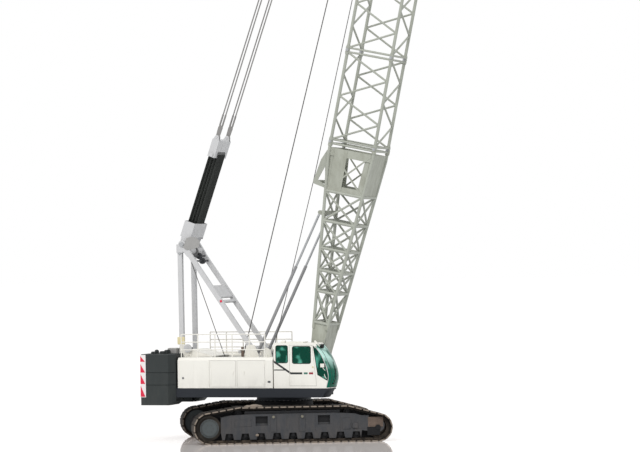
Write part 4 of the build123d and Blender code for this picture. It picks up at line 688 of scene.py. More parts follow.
line_up_the_boom("rear_line", [Vector((-1.533, 0.06, 2.36)), on_boom(-0.73, 0.06, 36.46)], 0.017)
line_up_the_boom("front_line", [Vector((-0.483, -0.05, 2.36)), on_boom(*GUIDE), on_boom(*JOINT_GUIDE),
                                on_boom(-0.8, 0.0, 36.4)], ROPE)
hoist = tubes([((-1.93, 0.0, 2.37), (-3.318, 0.0, 6.22), ROPE)], 10)
settle(hoist, "boom_hoist_line", "upper", "rope_steel")
ROLLER_X, ROLLER_LEVEL = JOINT_GUIDE[0] + 0.058, JOINT_GUIDE[2]
roller = tubes([(on_boom(ROLLER_X, -0.65, ROLLER_LEVEL), on_boom(ROLLER_X, 0.65, ROLLER_LEVEL), 0.045),
                (boom_corner(ROLLER_LEVEL, -1, -1), boom_corner(ROLLER_LEVEL, -1, 1), 0.03)])
settle(roller, "joint_guide_roller", "boom", "rigging_grey")
print("three lines run")

# %% [markdown]
# ## Gantry
# The mast is a frame of two box bars with a cross plate. Pins with heads and keepers hold its feet,
# its head and the legs. A deflector sheave on the head leads the boom hoist's line down, and cream
# brackets stand round the mast's feet. What is welded from sheet is made of boxes with rounded edges
# and of flat plates cut to an outline.

# %% Boxes and flat plates
def slab(x, y, z, edge=0.004):
    """A box between a low and a high value on each axis, with rounded edges."""
    size = Vector((x[1] - x[0], y[1] - y[0], z[1] - z[0]))
    middle = Vector((x[0] + x[1], y[0] + y[1], z[0] + z[1])) / 2
    bpy.ops.mesh.primitive_cube_add(size=1.0)
    piece = bpy.context.object
    piece.data.transform(Matrix.Translation(middle) @ Matrix.Diagonal((*size, 1.0)))
    reshaped(piece, bpy.ops.mesh.bevel, offset=min(edge, min(size) * 0.45), segments=2)
    return piece


def prism(outline, y):
    """A flat plate whose outline lies in X and Z, between two Y values."""
    return plate_between(*[[(x, level, z) for x, z in outline] for level in y])


print("edges are rounded by a bevel")

# %% Gantry pins and deflector sheave
MAST_FOOT = (-0.45, 2.45)
DEFLECTOR = (-3.15, 6.25)
runs = []
for side in (-1, 1):
    runs.append(shaft(*MAST_FOOT, (side * 0.78, side * 0.815), 0.075))
    runs.append(shaft(PIN_X, PIN_Z, (side * 0.755, side * 0.79), 0.07))
    runs.append(shaft(-3.32, 2.02, (side * 0.55, side * 0.73), 0.045))
    runs.append(shaft(-3.36, 6.2, (side * 0.6, side * 0.75), 0.04))
settle(tubes(runs, 20), "gantry_pins", "upper", "bright_rod")
runs = [shaft(*DEFLECTOR, (y, y + 0.02), 0.2) for y in (-0.035, 0.015)]
runs += [shaft(*DEFLECTOR, (-0.02, 0.02), 0.165), shaft(*DEFLECTOR, (-0.05, 0.05), 0.06)]
settle(tubes(runs, 28), "deflector_sheave", "upper", "bearing_steel")
print("gantry pinned")

# %% Brackets at the mast's feet, lamp box, head sheaves and covers
ROOF_FOOT = 2.753
MAST_SHEAVES = ((-2.96, 6.10), (-2.85, 5.94))
foot_parts = []
for side in (-1, 1):
    y = sorted((side * 0.80, side * 0.84))
    foot_parts.append(prism(((-1.057, ROOF_FOOT), (-1.03, 3.06), (-0.93, 3.16), (-0.72, 3.14), (-0.56, ROOF_FOOT)), y))
    foot_parts.append(prism(((-0.42, ROOF_FOOT), (-0.40, 3.02), (-0.31, 3.06), (-0.16, 2.98), (-0.12, ROOF_FOOT)), y))
settle(joined(foot_parts), "mast_foot_brackets", "upper", "rail_cream")
box = slab((-3.45, -3.2), (-0.80, -0.72), (3.17, 3.42), 0.015)
settle(box, "leg_lamp_box", "upper", "lamp_cream")
post = [slab((-3.38, -3.18), (-0.80, -0.745), (2.85, 3.19), 0.012),
        slab((-3.30, -3.04), (-0.83, -0.79), (ROOF_FOOT, 2.96), 0.012)]
settle(joined(post), "leg_lamp_post", "upper", "rail_cream")
reflector = tubes([shaft(-1.9, 4.6, (-0.777, -0.752), 0.04)], 20)
settle(reflector, "mast_reflector", "upper", "marker_red")
head_plate = prism(((-3.22, 6.40), (-3.10, 6.70), (-2.95, 6.75), (-2.75, 6.72), (-2.63, 6.60), (-2.65, 6.42),
                    (-2.85, 6.33), (-3.10, 6.31)), (-0.757, -0.739))
settle(head_plate, "mast_head_plate", "upper", "mast_shade")
runs = [shaft(x, z, (y, y + 0.045), 0.105) for y in (0.06, 0.12) for x, z in MAST_SHEAVES]
runs += [shaft(x, z, (-0.62, 0.62), 0.03) for x, z in MAST_SHEAVES]
settle(tubes(runs, 28), "mast_sheaves", "upper", "frame_slate")
cover = joined([slab((x - 0.006, x + 0.006), (-0.612, 0.612), (0.30, 0.785)) for x in (-0.18, 0.18)]
               + [slab((-0.186, 0.186), (y - 0.006, y + 0.006), (0.24, 0.785)) for y in (-0.608, 0.608)])
cover.data.transform(stay_axes)
settle(cover, "bail_cover", "stay", "rigging_grey")
print("gantry dressed")

# %% [markdown]
# ## Tracks
# The solid model has the loop with its shoes. Seen close, a track is a chain: link plates lie on
# both sides of bushings, and each shoe is bolted to them. One link with its pins and bolts is
# modelled in the shoe's own axes and copied to every shoe of the belt. Between the shoes' ends and
# the chain lies dry dust, which the paint gives.

# %% The belt's line
IDLER, DRIVE = (2.79, 0.46), (-2.73, 0.52)
BELT_WHEELS = ((*IDLER, 0.46), (1.78, 0.97, 0.23), (-1.78, 0.97, 0.23), (*DRIVE, 0.52))
SHOE_PITCH = 0.25


def belt_path():
    """The belt's outer line as arcs and straights: each has its length, start, radius, angle and way."""
    turns = []
    for here, there in zip(BELT_WHEELS, BELT_WHEELS[1:] + BELT_WHEELS[:1]):
        span = hypot(there[0] - here[0], there[1] - here[1])
        turns.append(atan2(there[1] - here[1], there[0] - here[0]) - pi / 2 - asin((there[2] - here[2]) / span))
    path = []
    for index, (x, z, radius) in enumerate(BELT_WHEELS):
        start, end = turns[index - 1], turns[index]
        while end < start:
            end += 2 * pi
        path.append((radius * (end - start), x, z, radius, start, 0.0, 0.0))
        after = BELT_WHEELS[(index + 1) % 4]
        here = (x + radius * cos(end), z + radius * sin(end))
        there = (after[0] + after[2] * cos(end), after[1] + after[2] * sin(end))
        span = hypot(there[0] - here[0], there[1] - here[1])
        path.append((span, *here, 0.0, end, (there[0] - here[0]) / span, (there[1] - here[1]) / span))
    return path


BELT = belt_path()
BELT_LENGTH = sum(piece[0] for piece in BELT)
SHOES = round(BELT_LENGTH / SHOE_PITCH)


print(SHOES, "shoes on", round(BELT_LENGTH, 2), "m of belt")

# %% Places of the shoes along it
UNDER_TURN = radians(25.3)
TRACK_Y = 2.095
SIDES = ((1, "left"), (-1, "right"))


def shoe_place(index):
    """A shoe's place: X along the belt, Y across it and Z out of it, for a track on the middle line."""
    distance = (index + 0.5) * BELT_LENGTH / SHOES
    for span, x, z, radius, angle, along_x, along_z in BELT:
        if distance <= span:
            break
        distance -= span
    if radius:
        angle += distance / radius
        x, z = x + radius * cos(angle), z + radius * sin(angle)
    else:
        x, z = x + along_x * distance, z + along_z * distance
    return Matrix.Translation((x, 0.0, z)) @ Matrix.Rotation(pi / 2 - angle, 4, "Y")


def in_track(side):
    """The axes of one track in the crane's axes."""
    return Matrix.Rotation(UNDER_TURN, 4, "Z") @ Matrix.Translation((0.0, side * TRACK_Y, 0.0))


def belt_places(side):
    """The places of all shoes of one track."""
    return [in_track(side) @ shoe_place(index) for index in range(SHOES)]


print("tracks stand turned by", round(degrees(UNDER_TURN), 1), "degrees")

# %% One link, copied to every shoe
def chain_link():
    """Two link plates with their two pins, and eight shoe bolts."""
    parts = [slab((-0.115, 0.115), (y, y + 0.013), (-0.112, -0.052)) for y in (-0.215, 0.202)]
    for x in (-0.06, 0.06):
        bpy.ops.mesh.primitive_cylinder_add(vertices=10, radius=0.022, depth=0.45, location=(x, 0, -0.08),
                                            rotation=(pi / 2, 0, 0))
        bpy.ops.object.transform_apply(location=True, rotation=True)
        parts.append(bpy.context.object)
    spots = [facing((x, y, -0.047), (0, 0, -1)) for x in (-0.07, 0.07) for y in (-0.33, -0.27, 0.27, 0.33)]
    parts.append(bolt_heads(spots, 0.014, 0.016))
    return joined(parts)


for side, name in SIDES:
    settle(copied(chain_link(), belt_places(side)), f"chain_links_{name}", "undercarriage", "track_steel")
print(SHOES, "links on each track")

# %% Dusty ends on the shoes
for side, name in SIDES:
    ends = joined([slab((-0.096, 0.096), (y, y + 0.02), (-0.043, -0.003)) for y in (-0.4635, 0.4435)])
    settle(copied(ends, belt_places(side)), f"shoe_ends_{name}", "undercarriage", "shoe_dust")
print("shoe ends on both tracks")

# %% [markdown]
# ## Side frames
# The frame between the runs is a welded box. Its side carries the drive's cover with a ring of
# bolts, caps on the rollers' shafts, lifting knobs over two columns, an adjuster at the idler and
# a few weld seams.

# %% Side frame fittings
FRAME_OUT = 0.28
ROLLERS_X = [(i - 4) * 0.52 for i in range(9)]
ROLLER_Z = 0.2663


def outward(x, z, out=0.0):
    """A point on the side frame's outer face, in one track's axes, that looks outward."""
    return facing((x, FRAME_OUT + out, z), (0, 1, 0))


def side_fittings():
    """Bolts, caps and knobs of one side frame, in the track's axes with the outside at +Y."""
    parts = []
    for count, radius, out, size in ((16, 0.275, 0.04, 0.014), (6, 0.12, 0.078, 0.012)):
        ring = [outward(DRIVE[0] + dx, DRIVE[1] + dz, out) for dx, dz in around(count, radius)]
        parts.append(bolt_heads(ring, size, size))
    for x in (-2.0, -0.2, 0.75, 1.55):
        parts.append(slab((x - 0.007, x + 0.007), (FRAME_OUT - 0.004, FRAME_OUT + 0.006), (0.37, 0.87), 0.003))
    parts.append(slab((-1.9, -1.35), (FRAME_OUT - 0.005, FRAME_OUT + 0.012), (0.56, 0.8), 0.006))
    parts.append(slab((1.62, 1.90), (FRAME_OUT - 0.005, FRAME_OUT + 0.018), (0.42, 0.78), 0.008))
    parts.append(slab((1.95, 2.13), (FRAME_OUT - 0.02, FRAME_OUT + 0.05), (0.44, 0.62), 0.02))
    parts.append(slab((2.02, 2.50), (0.24, 0.284), (0.42, 0.86), 0.02))
    corners = [outward(x, z, 0.012) for x in (-1.86, -1.39) for z in (0.6, 0.76)]
    parts.append(bolt_heads(corners, 0.012, 0.01))
    return joined(parts)


def put_on_track(piece, side, name, finish):
    """Mirrors a piece for the right track, carries it into the track's axes and settles it."""
    if side < 0:
        piece.data.transform(Matrix.Diagonal((1.0, -1.0, 1.0, 1.0)))
        reshaped(piece, bpy.ops.mesh.normals_make_consistent, inside=False)
    piece.data.transform(in_track(side))
    return settle(piece, name, "undercarriage", finish)


for side, name in SIDES:
    put_on_track(side_fittings(), side, f"side_fittings_{name}", "frame_slate")
print("side frames dressed")

# %% Yoke plates at the idlers, and dark sheets as painted shade in the adjusters' openings
for side, name in SIDES:
    plates = [slab((2.46, 2.97), (0.255, 0.292), (0.47, 0.80), 0.03),
              slab((2.50, 2.76), (0.27, 0.302), (0.52, 0.72), 0.03)]
    put_on_track(joined(plates), side, f"yoke_{name}", "yoke_dust")
    # A near-black sheet stands for the adjuster's opening: painted shade.
    shade_opening = slab((2.44, 2.86), (0.285, 0.298), (0.20, 0.47), 0.04)
    put_on_track(shade_opening, side, f"adjuster_{name}", "black_rubber_and_shade")
print("yokes closed")

# %% Dark webs inside the loops and dark pocket floors as painted shade, knobs, roller caps and mud
WEB_INSET = 0.055
WEB_POINTS = 96


def belt_point(distance, inset):
    """A point on the belt's line at a distance along it, moved inside the loop by the inset."""
    place = shoe_place(distance / (BELT_LENGTH / SHOES) - 0.5)
    x, _, z = place @ Vector((0.0, 0.0, -inset))
    return x, z


def mud_lumps(places):
    """Flattened lumps of dried earth."""
    lumps = []
    for x, y, z, radius, tall in places:
        bpy.ops.mesh.primitive_ico_sphere_add(subdivisions=2, radius=radius, location=(x, y, z))
        lump = bpy.context.object
        lump.scale = (1.0, 0.8, tall)
        bpy.ops.object.transform_apply(location=True, rotation=True, scale=True)
        lumps.append(lump)
    return joined(lumps)


for side, name in SIDES:
    # The web is a near-black plate inside the loop: painted shade where the floor would show through.
    shade_web = prism([belt_point(BELT_LENGTH * i / WEB_POINTS, WEB_INSET) for i in range(WEB_POINTS)], (-0.015, 0.015))
    put_on_track(shade_web, side, f"loop_web_{name}", "black_rubber_and_shade")
    # Near-black floors in the frame's pockets: painted shade.
    shade_floors = joined([slab((x - 0.197, x + 0.197), (FRAME_OUT - 0.089, FRAME_OUT - 0.08), (0.655, 0.883), 0.003)
                     for x in (-1.02, 1.02)])
    put_on_track(shade_floors, side, f"pocket_shade_{name}", "black_rubber_and_shade")
    caps = tubes([shaft(x, ROLLER_Z, (FRAME_OUT + 0.011, FRAME_OUT + 0.03), 0.055) for x in ROLLERS_X]
                 + [shaft(*IDLER, (FRAME_OUT + 0.013, FRAME_OUT + 0.04), 0.085)], 20)
    put_on_track(caps, side, f"roller_caps_{name}", "black_rubber_and_shade")
    knobs = tubes([shaft(x, 0.86, (FRAME_OUT + 0.02, FRAME_OUT + 0.075), 0.042) for x in (-0.64, 0.3)], 20)
    hub = tubes([shaft(*DRIVE, (0.3195, 0.3235), 0.305), shaft(*DRIVE, (0.3545, 0.3585), 0.245),
                 shaft(*DRIVE, (-0.25, -0.238), 0.40)], 40)
    put_on_track(hub, side, f"hub_cover_{name}", "hub_slate")
    put_on_track(knobs, side, f"column_knobs_{name}", "knob_tan")
heap = mud_lumps(((-1.46, 0.30, 1.205, 0.13, 0.4), (-1.28, 0.33, 1.21, 0.15, 0.5), (-1.10, 0.30, 1.205, 0.12, 0.45),
                  (-1.20, 0.22, 1.21, 0.14, 0.5), (-1.36, 0.16, 1.205, 0.13, 0.35), (-1.17, 0.285, 0.275, 0.06, 0.8)))
put_on_track(heap, -1, "dried_mud", "shoe_dust")
print("loops filled")

# %% [markdown]
# ## Houses and deck
# The houses are thin sheet boxes. What makes them look built is small: roof screws, lift eyes, a
# toe board along the far rail, a lock and a vent on the near side, blades behind the louvres, a
# cover at the roof's tail and the exhaust over the engine. Hoses are curves with a round bevel.

# %% Small fittings of the near house
NEAR = -1.55
HOUSE_ROOF = 2.755
vent = [slab((-0.035, 0.065), (NEAR - 0.006, NEAR + 0.004), (1.93, 1.99), 0.003)]
for level in range(4):
    z = 1.935 + level * 0.017
    vent.append(slab((-0.03, 0.06), (NEAR - 0.012, NEAR - 0.004), (z, z + 0.006), 0.002))
settle(joined(vent), "near_vent", "upper", "engine_grey")
lock = tubes([shaft(-2.985, 2.084, (NEAR - 0.012, NEAR + 0.004), 0.034),
              shaft(-2.985, 2.084, (NEAR - 0.02, NEAR - 0.01), 0.018)], 20)
settle(lock, "near_lock", "upper", "drum_steel")
seams = []
for x in (-2.62, -2.1):
    seams.append(slab((x - 0.004, x + 0.004), (NEAR - 0.003, NEAR + 0.003), (1.79, 2.66), 0.001))
for side in (-1, 1):
    y = sorted((side * 1.545, side * 1.556))
    seams.append(slab((-3.165, 0.135 if side < 0 else 0.895), y, (1.752, 1.782), 0.003))
settle(joined(seams), "house_seams", "upper", "house_white")
print("near house dressed")

# %% Lift eyes, screws and roof plates
eyes = []
for x in (-2.95, -0.25):
    for side in (-1, 1):
        bpy.ops.mesh.primitive_torus_add(major_radius=0.045, minor_radius=0.012, major_segments=24, minor_segments=8,
                                         location=(x, side * 1.05, HOUSE_ROOF + 0.05), rotation=(pi / 2, 0, 0))
        bpy.ops.object.shade_smooth()
        eyes.append(bpy.context.object)
        eyes.append(slab((x - 0.06, x + 0.06), (side * 1.05 - 0.04, side * 1.05 + 0.04),
                         (HOUSE_ROOF - 0.003, HOUSE_ROOF + 0.014), 0.004))
settle(joined(eyes), "lift_eyes", "upper", "rail_cream")
screws = [facing((-3.05 + 0.24 * i, y, HOUSE_ROOF), (0, 0, 1)) for y in (-0.96, 0.96, -1.40, 1.40) for i in range(12)]
settle(bolt_heads(screws, 0.011, 0.009), "roof_screws", "upper", "rail_cream")
board = [slab((-3.1, -0.14), (1.428, 1.44), (HOUSE_ROOF + 0.004, HOUSE_ROOF + 0.105), 0.003)]
board += [slab((-2.7, -0.45), (1.0, 1.28), (HOUSE_ROOF - 0.003, HOUSE_ROOF + 0.05), 0.012)]
settle(joined(board), "far_toe_board", "upper", "house_white")
print(len(screws), "roof screws")

# %% Louvre blades and exhaust on the engine's side
blades = []
for level in range(9):
    z = 1.93 + level * 0.08
    blades.append(slab((-2.9, -2.34), (1.55, 1.572), (z + 0.004, z + 0.010), 0.002))
    blades.append(slab((-2.9, -2.34), (1.552, 1.556), (z + 0.006, z + 0.034), 0.001))
settle(joined(blades), "louvre_blades", "upper", "house_white")
pipe = [((-1.9, 1.12, HOUSE_ROOF + 0.04), (-1.9, 1.12, HOUSE_ROOF + 0.13), 0.07),
        ((-1.9, 1.12, HOUSE_ROOF + 0.145), (-1.9, 1.12, HOUSE_ROOF + 0.155), 0.095),
        ((-1.9, 1.12, HOUSE_ROOF + 0.12), (-1.9, 1.12, HOUSE_ROOF + 0.15), 0.02)]
settle(tubes(pipe, 24), "exhaust_cap", "upper", "rigging_grey")
cover = prism([(x, HOUSE_ROOF + up) for x, up in ((-3.15, 0.002), (-3.15, 0.24), (-2.95, 0.24), (-2.2, 0.03),
                                                  (-2.2, 0.002))], (-0.78, 0.78))
settle(cover, "rear_cover", "upper", "house_white")
rope_eye = tubes([shaft(-3.06, 3.04, (-0.87, -0.84), 0.14), shaft(-3.06, 3.04, (-0.885, -0.745), 0.04)], 28)
settle(rope_eye, "tail_sheave", "upper", "rigging_grey")
print("louvres and exhaust done")

# %% Bent tubes and beads
def bead(points, radius, closed=False, smooth=False, sides=8):
    """A round bead or bent tube along points: a curve with a bevel, made a mesh."""
    curve = bpy.data.curves.new("bead", "CURVE")
    curve.dimensions = "3D"
    curve.bevel_depth = radius
    curve.bevel_resolution = max(0, sides // 4 - 1)
    curve.use_fill_caps = True
    line = curve.splines.new("NURBS" if smooth else "POLY")
    line.points.add(len(points) - 1)
    for spot, point in zip(line.points, points):
        spot.co = (*point, 1.0)
    line.use_cyclic_u = closed
    if smooth:
        line.order_u = 3
        line.use_endpoint_u = not closed
        line.resolution_u = 6
    piece = bpy.data.objects.new("bead", curve)
    bpy.context.collection.objects.link(piece)
    alone(piece)
    bpy.ops.object.convert(target="MESH")
    bpy.ops.object.shade_smooth_by_angle(angle=radians(50))
    return bpy.context.object


print("a bead is a bevelled curve made a mesh")

# %% Pin brackets, valve blocks and hoses on the open deck
parts = []
for side in (-1, 1):
    y = sorted((side * 0.66, side * 0.72))
    parts.append(slab((-0.30, 0.05), y, (2.46, 2.62), 0.015))
    parts.append(slab((0.28, 0.62), sorted((side * 0.60, side * 0.655)), (2.40, 2.56), 0.015))
settle(joined(parts), "deck_brackets", "upper", "rail_cream")
valves = [slab((0.45, 0.85), (-0.25, 0.25), (1.747, 1.98), 0.015),
          slab((0.52, 0.78), (-0.16, 0.16), (1.98, 2.08), 0.012)]
for y in (-0.18, -0.06, 0.06, 0.18):
    valves.append(bead([(0.46, y, 1.84), (0.30, y, 1.80), (0.18, y * 1.4, 1.77), (0.10, y * 1.8, 1.765)], 0.016,
                       smooth=True, sides=12))
settle(joined(valves), "deck_valves", "upper", "engine_grey")
stand = slab((-1.19, -1.10), (-0.84, -0.80), (ROOF_FOOT, 3.08), 0.01)
settle(stand, "valve_stand", "upper", "yoke_dust")
print("deck dressed")

# %% [markdown]
# ## Counterweight
# The slabs are cast, so their look comes from the paint. On top stand cast lumps, dark pins fill the
# lifting lugs, and a narrow board with red teeth marks the swinging corner on each side.

# %% Marker boards with red teeth
BOARD_X = (-4.41, -4.225)
BOARD_Z = (1.455, 2.86)
TEETH_Z = ((2.633, 2.819), (2.275, 2.56), (1.898, 2.229), (1.474, 1.851))
for side, name in SIDES:
    wall = side * 1.75
    board = slab(BOARD_X, sorted((wall - side * 0.004, wall + side * 0.008)), BOARD_Z, 0.002)
    settle(board, f"marker_board_{name}", "upper", "marker_white")
    teeth = [prism(((BOARD_X[0], high), (BOARD_X[0], low), (BOARD_X[1] - 0.02, low)),
                   sorted((wall + side * 0.006, wall + side * 0.012))) for low, high in TEETH_Z]
    settle(joined(teeth), f"marker_teeth_{name}", "upper", "marker_red")
print(len(TEETH_Z), "teeth on each board")

# %% Lugs on the top slab
WEIGHT_TOP = 2.88
lumps = []
for side in (-1, 1):
    for x0, x1, y0, y1, tall in ((-4.19, -4.02, 1.22, 1.36, 0.075), (-3.90, -3.72, 1.10, 1.30, 0.085),
                                 (-3.76, -3.64, 1.02, 1.24, 0.125)):
        lumps.append(slab((x0, x1), sorted((side * y0, side * y1)), (WEIGHT_TOP - 0.01, WEIGHT_TOP + tall), 0.03))
settle(joined(lumps), "weight_lugs", "upper", "weight_dark")
pins = tubes([shaft(x, WEIGHT_TOP + 0.06, (y - 0.045, y + 0.045), 0.0345)
              for x in (-4.05, -3.64) for y in (-1.15, 1.15)], 20)
settle(pins, "lug_pins", "upper", "weight_dark")
block = slab((-3.74, -3.42), (-0.98, -0.72), (2.87, 3.06), 0.03)
settle(block, "tail_block", "upper", "mast_shade")
print("counterweight dressed")

# %% [markdown]
# ## Cab, outside
# The cab's sheet and panes are in the solid model. Outside it has rubber round each pane, a slim
# pillar trim, a dark stripe that breaks at the door, a wiper, a mirror, a work lamp and a lock.
# The stripe is two pieces, so its front half swings with the door.

# %% Points on the cab
CAB_MIDDLE, CAB_HALF, CAB_BULGE = -1.115, 0.435, 0.09
CAB_EDGE = ((1.7473, 2.04), (1.85, 2.065), (2.0, 2.11), (2.15, 2.125), (2.35, 2.095), (2.58, 2.01), (2.81, 1.9),
            (3.01, 1.765), (3.14, 1.665), (3.225, 1.58))
REAR_PANE = ((0.255, 0.665), (2.578, 3.145))
DOOR_PANE = ((0.826, 1.454), (2.555, 3.118))
QUARTER = ((1.54, 3.135), (1.68, 3.007), (1.82, 2.81), (1.92, 2.582), (1.99, 2.353), (2.04, 2.124), (2.02, 2.0),
           (1.69, 2.19))
finish_of("pane_seal", (0.004, 0.022, 0.016), 0.6, tone=0.1, scale=5.0)
finish_of("stripe_black", (0.012, 0.014, 0.014), 0.45, tone=0.05)
finish_of("pillar_grey", (0.50, 0.50, 0.49), 0.4, tone=0.03)


def edge_x(z):
    """How far forward the cab's side reaches at a height."""
    for (low, x0), (high, x1) in zip(CAB_EDGE, CAB_EDGE[1:]):
        if z <= high:
            return x0 + (x1 - x0) * (z - low) / (high - low)
    return CAB_EDGE[-1][1]


def on_screen(y, z, out=0.0):
    """A point on the bowed windscreen, or a little in front of it."""
    return (edge_x(z) + CAB_BULGE * (1.0 - ((y - CAB_MIDDLE) / CAB_HALF) ** 2) + out, y, z)


def rounded(x, z, corner, steps=5):
    """A rectangle's outline with round corners."""
    points = []
    for cx, cz, start in ((x[1] - corner, z[1] - corner, 0), (x[0] + corner, z[1] - corner, 90),
                          (x[0] + corner, z[0] + corner, 180), (x[1] - corner, z[0] + corner, 270)):
        for step in range(steps + 1):
            a = radians(start + 90 * step / steps)
            points.append((cx + corner * cos(a), cz + corner * sin(a)))
    return points


print("windscreen's foremost point", round(on_screen(CAB_MIDDLE, 2.15)[0], 3))

# %% Seals round the panes
NEAR_SEAL, FAR_SEAL = -1.547, -0.683
SEAL = 0.013


def seal(points, y):
    """A closed rubber bead round an outline."""
    return bead([(x, y, z) for x, z in points], SEAL, closed=True)


shell_seals = [seal(rounded(*REAR_PANE, 0.06), NEAR_SEAL), seal(QUARTER, NEAR_SEAL), seal(QUARTER, FAR_SEAL),
               seal(rounded((REAR_PANE[0][0], DOOR_PANE[0][1]), DOOR_PANE[1], 0.06), FAR_SEAL)]
SCREEN_STEPS = 12
low_z, high_z, near_y, far_y = 1.785, 3.165, -1.48, -0.75
steps = [(high_z - low_z) * i / SCREEN_STEPS for i in range(1, SCREEN_STEPS + 1)]
ring = [(near_y + (far_y - near_y) * i / 8, low_z) for i in range(9)] + [(far_y, low_z + up) for up in steps]
ring += [(far_y + (near_y - far_y) * i / 8, high_z) for i in range(1, 9)] + [(near_y, high_z - up) for up in steps[:-1]]
shell_seals.append(bead([on_screen(y, z, -0.004) for y, z in ring], SEAL, closed=True))
settle(joined(shell_seals), "shell_seals", "upper", "pane_seal")
settle(seal(rounded(*DOOR_PANE, 0.06), NEAR_SEAL), "door_seal", "cab_door", "pane_seal")
levels = [1.80 + 0.12 * i for i in range(12)]
trims = [bead([(edge_x(z) - 0.068, y, z) for z in levels], 0.014, smooth=True, sides=12)
         for y in (NEAR_SEAL, FAR_SEAL)]
settle(joined(trims), "pillar_trims", "upper", "pillar_grey")
print("seals and trims run")

# %% Wrap-round windscreen
SCREEN_LOW, SCREEN_HIGH, SCREEN_SIDE = 1.772, 3.175, 0.434
SCREEN_ROWS, SCREEN_COLUMNS = 22, 16
bpy.ops.mesh.primitive_grid_add(x_subdivisions=SCREEN_COLUMNS, y_subdivisions=SCREEN_ROWS, size=1.0)
screen = bpy.context.object
for vertex in screen.data.vertices:
    across = CAB_MIDDLE + 2 * vertex.co.x * SCREEN_SIDE
    height = SCREEN_LOW + (vertex.co.y + 0.5) * (SCREEN_HIGH - SCREEN_LOW)
    vertex.co = on_screen(across, height, 0.004)
thick = screen.modifiers.new("glass", "SOLIDIFY")
thick.thickness = 0.006
bpy.ops.object.modifier_apply(modifier=thick.name)
reshaped(screen, bpy.ops.mesh.normals_make_consistent, inside=False)
bpy.ops.object.shade_smooth_by_angle(angle=radians(40))
levels = [SCREEN_LOW + (SCREEN_HIGH - 0.06 - SCREEN_LOW) * i / 16 for i in range(17)]
outline = [(edge_x(z) + 0.006, z) for z in levels] + [(edge_x(z) - 0.058, z) for z in reversed(levels)]
sides = [prism(outline, y) for y in ((-1.5562, -1.5502), (-0.6798, -0.6738))]
# The windscreen's glass carries painted reflections in its upper part.
settle(joined([screen, *sides]), "wrap_windscreen", "upper", "screen_green")
print("windscreen wrapped")

# %% Stripe, split at the door
STRIPE_OUT = (-1.5535, -1.549)
upper_stripe = prism(((0.185, 2.660), (0.185, 2.586), (0.722, 2.233), (0.722, 2.304)), STRIPE_OUT)
thin = slab((0.19, 0.60), STRIPE_OUT, (2.330, 2.364), 0.001)
settle(joined([upper_stripe, thin]), "stripe_on_shell", "upper", "stripe_black")
lower_stripe = prism(((0.738, 2.293), (0.738, 2.221), (0.762, 2.205), (1.16, 2.205), (1.16, 2.270), (0.776, 2.270)),
                     STRIPE_OUT)
settle(lower_stripe, "stripe_on_door", "cab_door", "stripe_black")
finish_of("stripe_green", (0.04, 0.15, 0.11), 0.5, tone=0.05)
finish_of("stripe_red", (0.26, 0.015, 0.03), 0.5, tone=0.05)
for colour, x, z in (("green", (1.215, 1.345), (2.207, 2.268)), ("red", (1.392, 1.535), (2.205, 2.270))):
    settle(slab(x, STRIPE_OUT, z, 0.001), f"stripe_{colour}_end", "cab_door", "stripe_" + colour)
print("stripe laid")

# %% Wiper, mirror, lamps and lock
wiper = [bead([on_screen(-1.36, 1.90, 0.035), on_screen(-1.30, 2.10, 0.04), on_screen(-1.22, 2.38, 0.04)], 0.009),
         bead([on_screen(-1.32, 2.08, 0.022), on_screen(-1.26, 2.32, 0.022), on_screen(-1.17, 2.62, 0.022)], 0.007)]
x, y, z = on_screen(-1.36, 1.90)
wiper.append(tubes([((x - 0.02, y, z), (x + 0.045, y, z), 0.022)], 16))
settle(joined(wiper), "wiper", "upper", "black_rubber_and_shade")
mirror = [slab((1.79, 1.93), (-1.592, -1.566), (2.43, 2.555), 0.02),
          bead([(1.86, -1.57, 2.45), (1.90, -1.565, 2.36), (1.955, -1.545, 2.33)], 0.009, smooth=True)]
settle(joined(mirror), "near_mirror", "upper", "rail_cream")
grip = bead([(1.925, -1.545, 2.20), (1.925, -1.585, 2.185), (1.965, -1.59, 2.12), (1.985, -1.585, 2.075),
             (1.985, -1.545, 2.06)], 0.012, smooth=True, sides=12)
settle(grip, "near_grip", "upper", "rail_cream")
LAMP_Y = -1.45
bracket = prism(((1.545, 3.30), (1.605, 3.305), (1.75, 3.12), (1.72, 3.07), (1.63, 3.13)),
                (LAMP_Y - 0.03, LAMP_Y + 0.03))
bpy.ops.mesh.primitive_cylinder_add(vertices=24, radius=0.065, depth=0.09, location=(1.83, LAMP_Y, 3.12),
                                    rotation=(0, radians(100), 0))
bpy.ops.object.shade_smooth_by_angle(angle=radians(40))
lamps = [bpy.context.object, slab((1.70, 1.80), (LAMP_Y - 0.015, LAMP_Y + 0.015), (3.10, 3.13))]
settle(bracket, "roof_brackets", "upper", "rail_cream")
settle(joined(lamps), "roof_lamps", "upper", "black_rubber_and_shade")
lock = tubes([shaft(1.525, 2.44, (-1.564, -1.546), 0.028), shaft(1.525, 2.44, (-1.57, -1.56), 0.014)], 20)
settle(lock, "cab_lock", "cab_door", "lamp_cream")
hatch = [slab((0.55, 1.15), (-1.38, -0.85), (3.222, 3.262), 0.012),
         slab((0.30, 0.46), (-1.20, -1.03), (3.222, 3.30), 0.02)]
settle(joined(hatch), "cab_roof_hatch", "upper", "house_white")
print("cab dressed outside")

# %% [markdown]
# ## Cab, inside
# Behind the tinted panes stand a seat on its pedestal, two consoles with levers, a display and
# dark linings. The seat's cushions are real pads: a slightly small block is remeshed, blown up as
# cloth with the air pressure of foam, and gets its sewn channels afterwards.

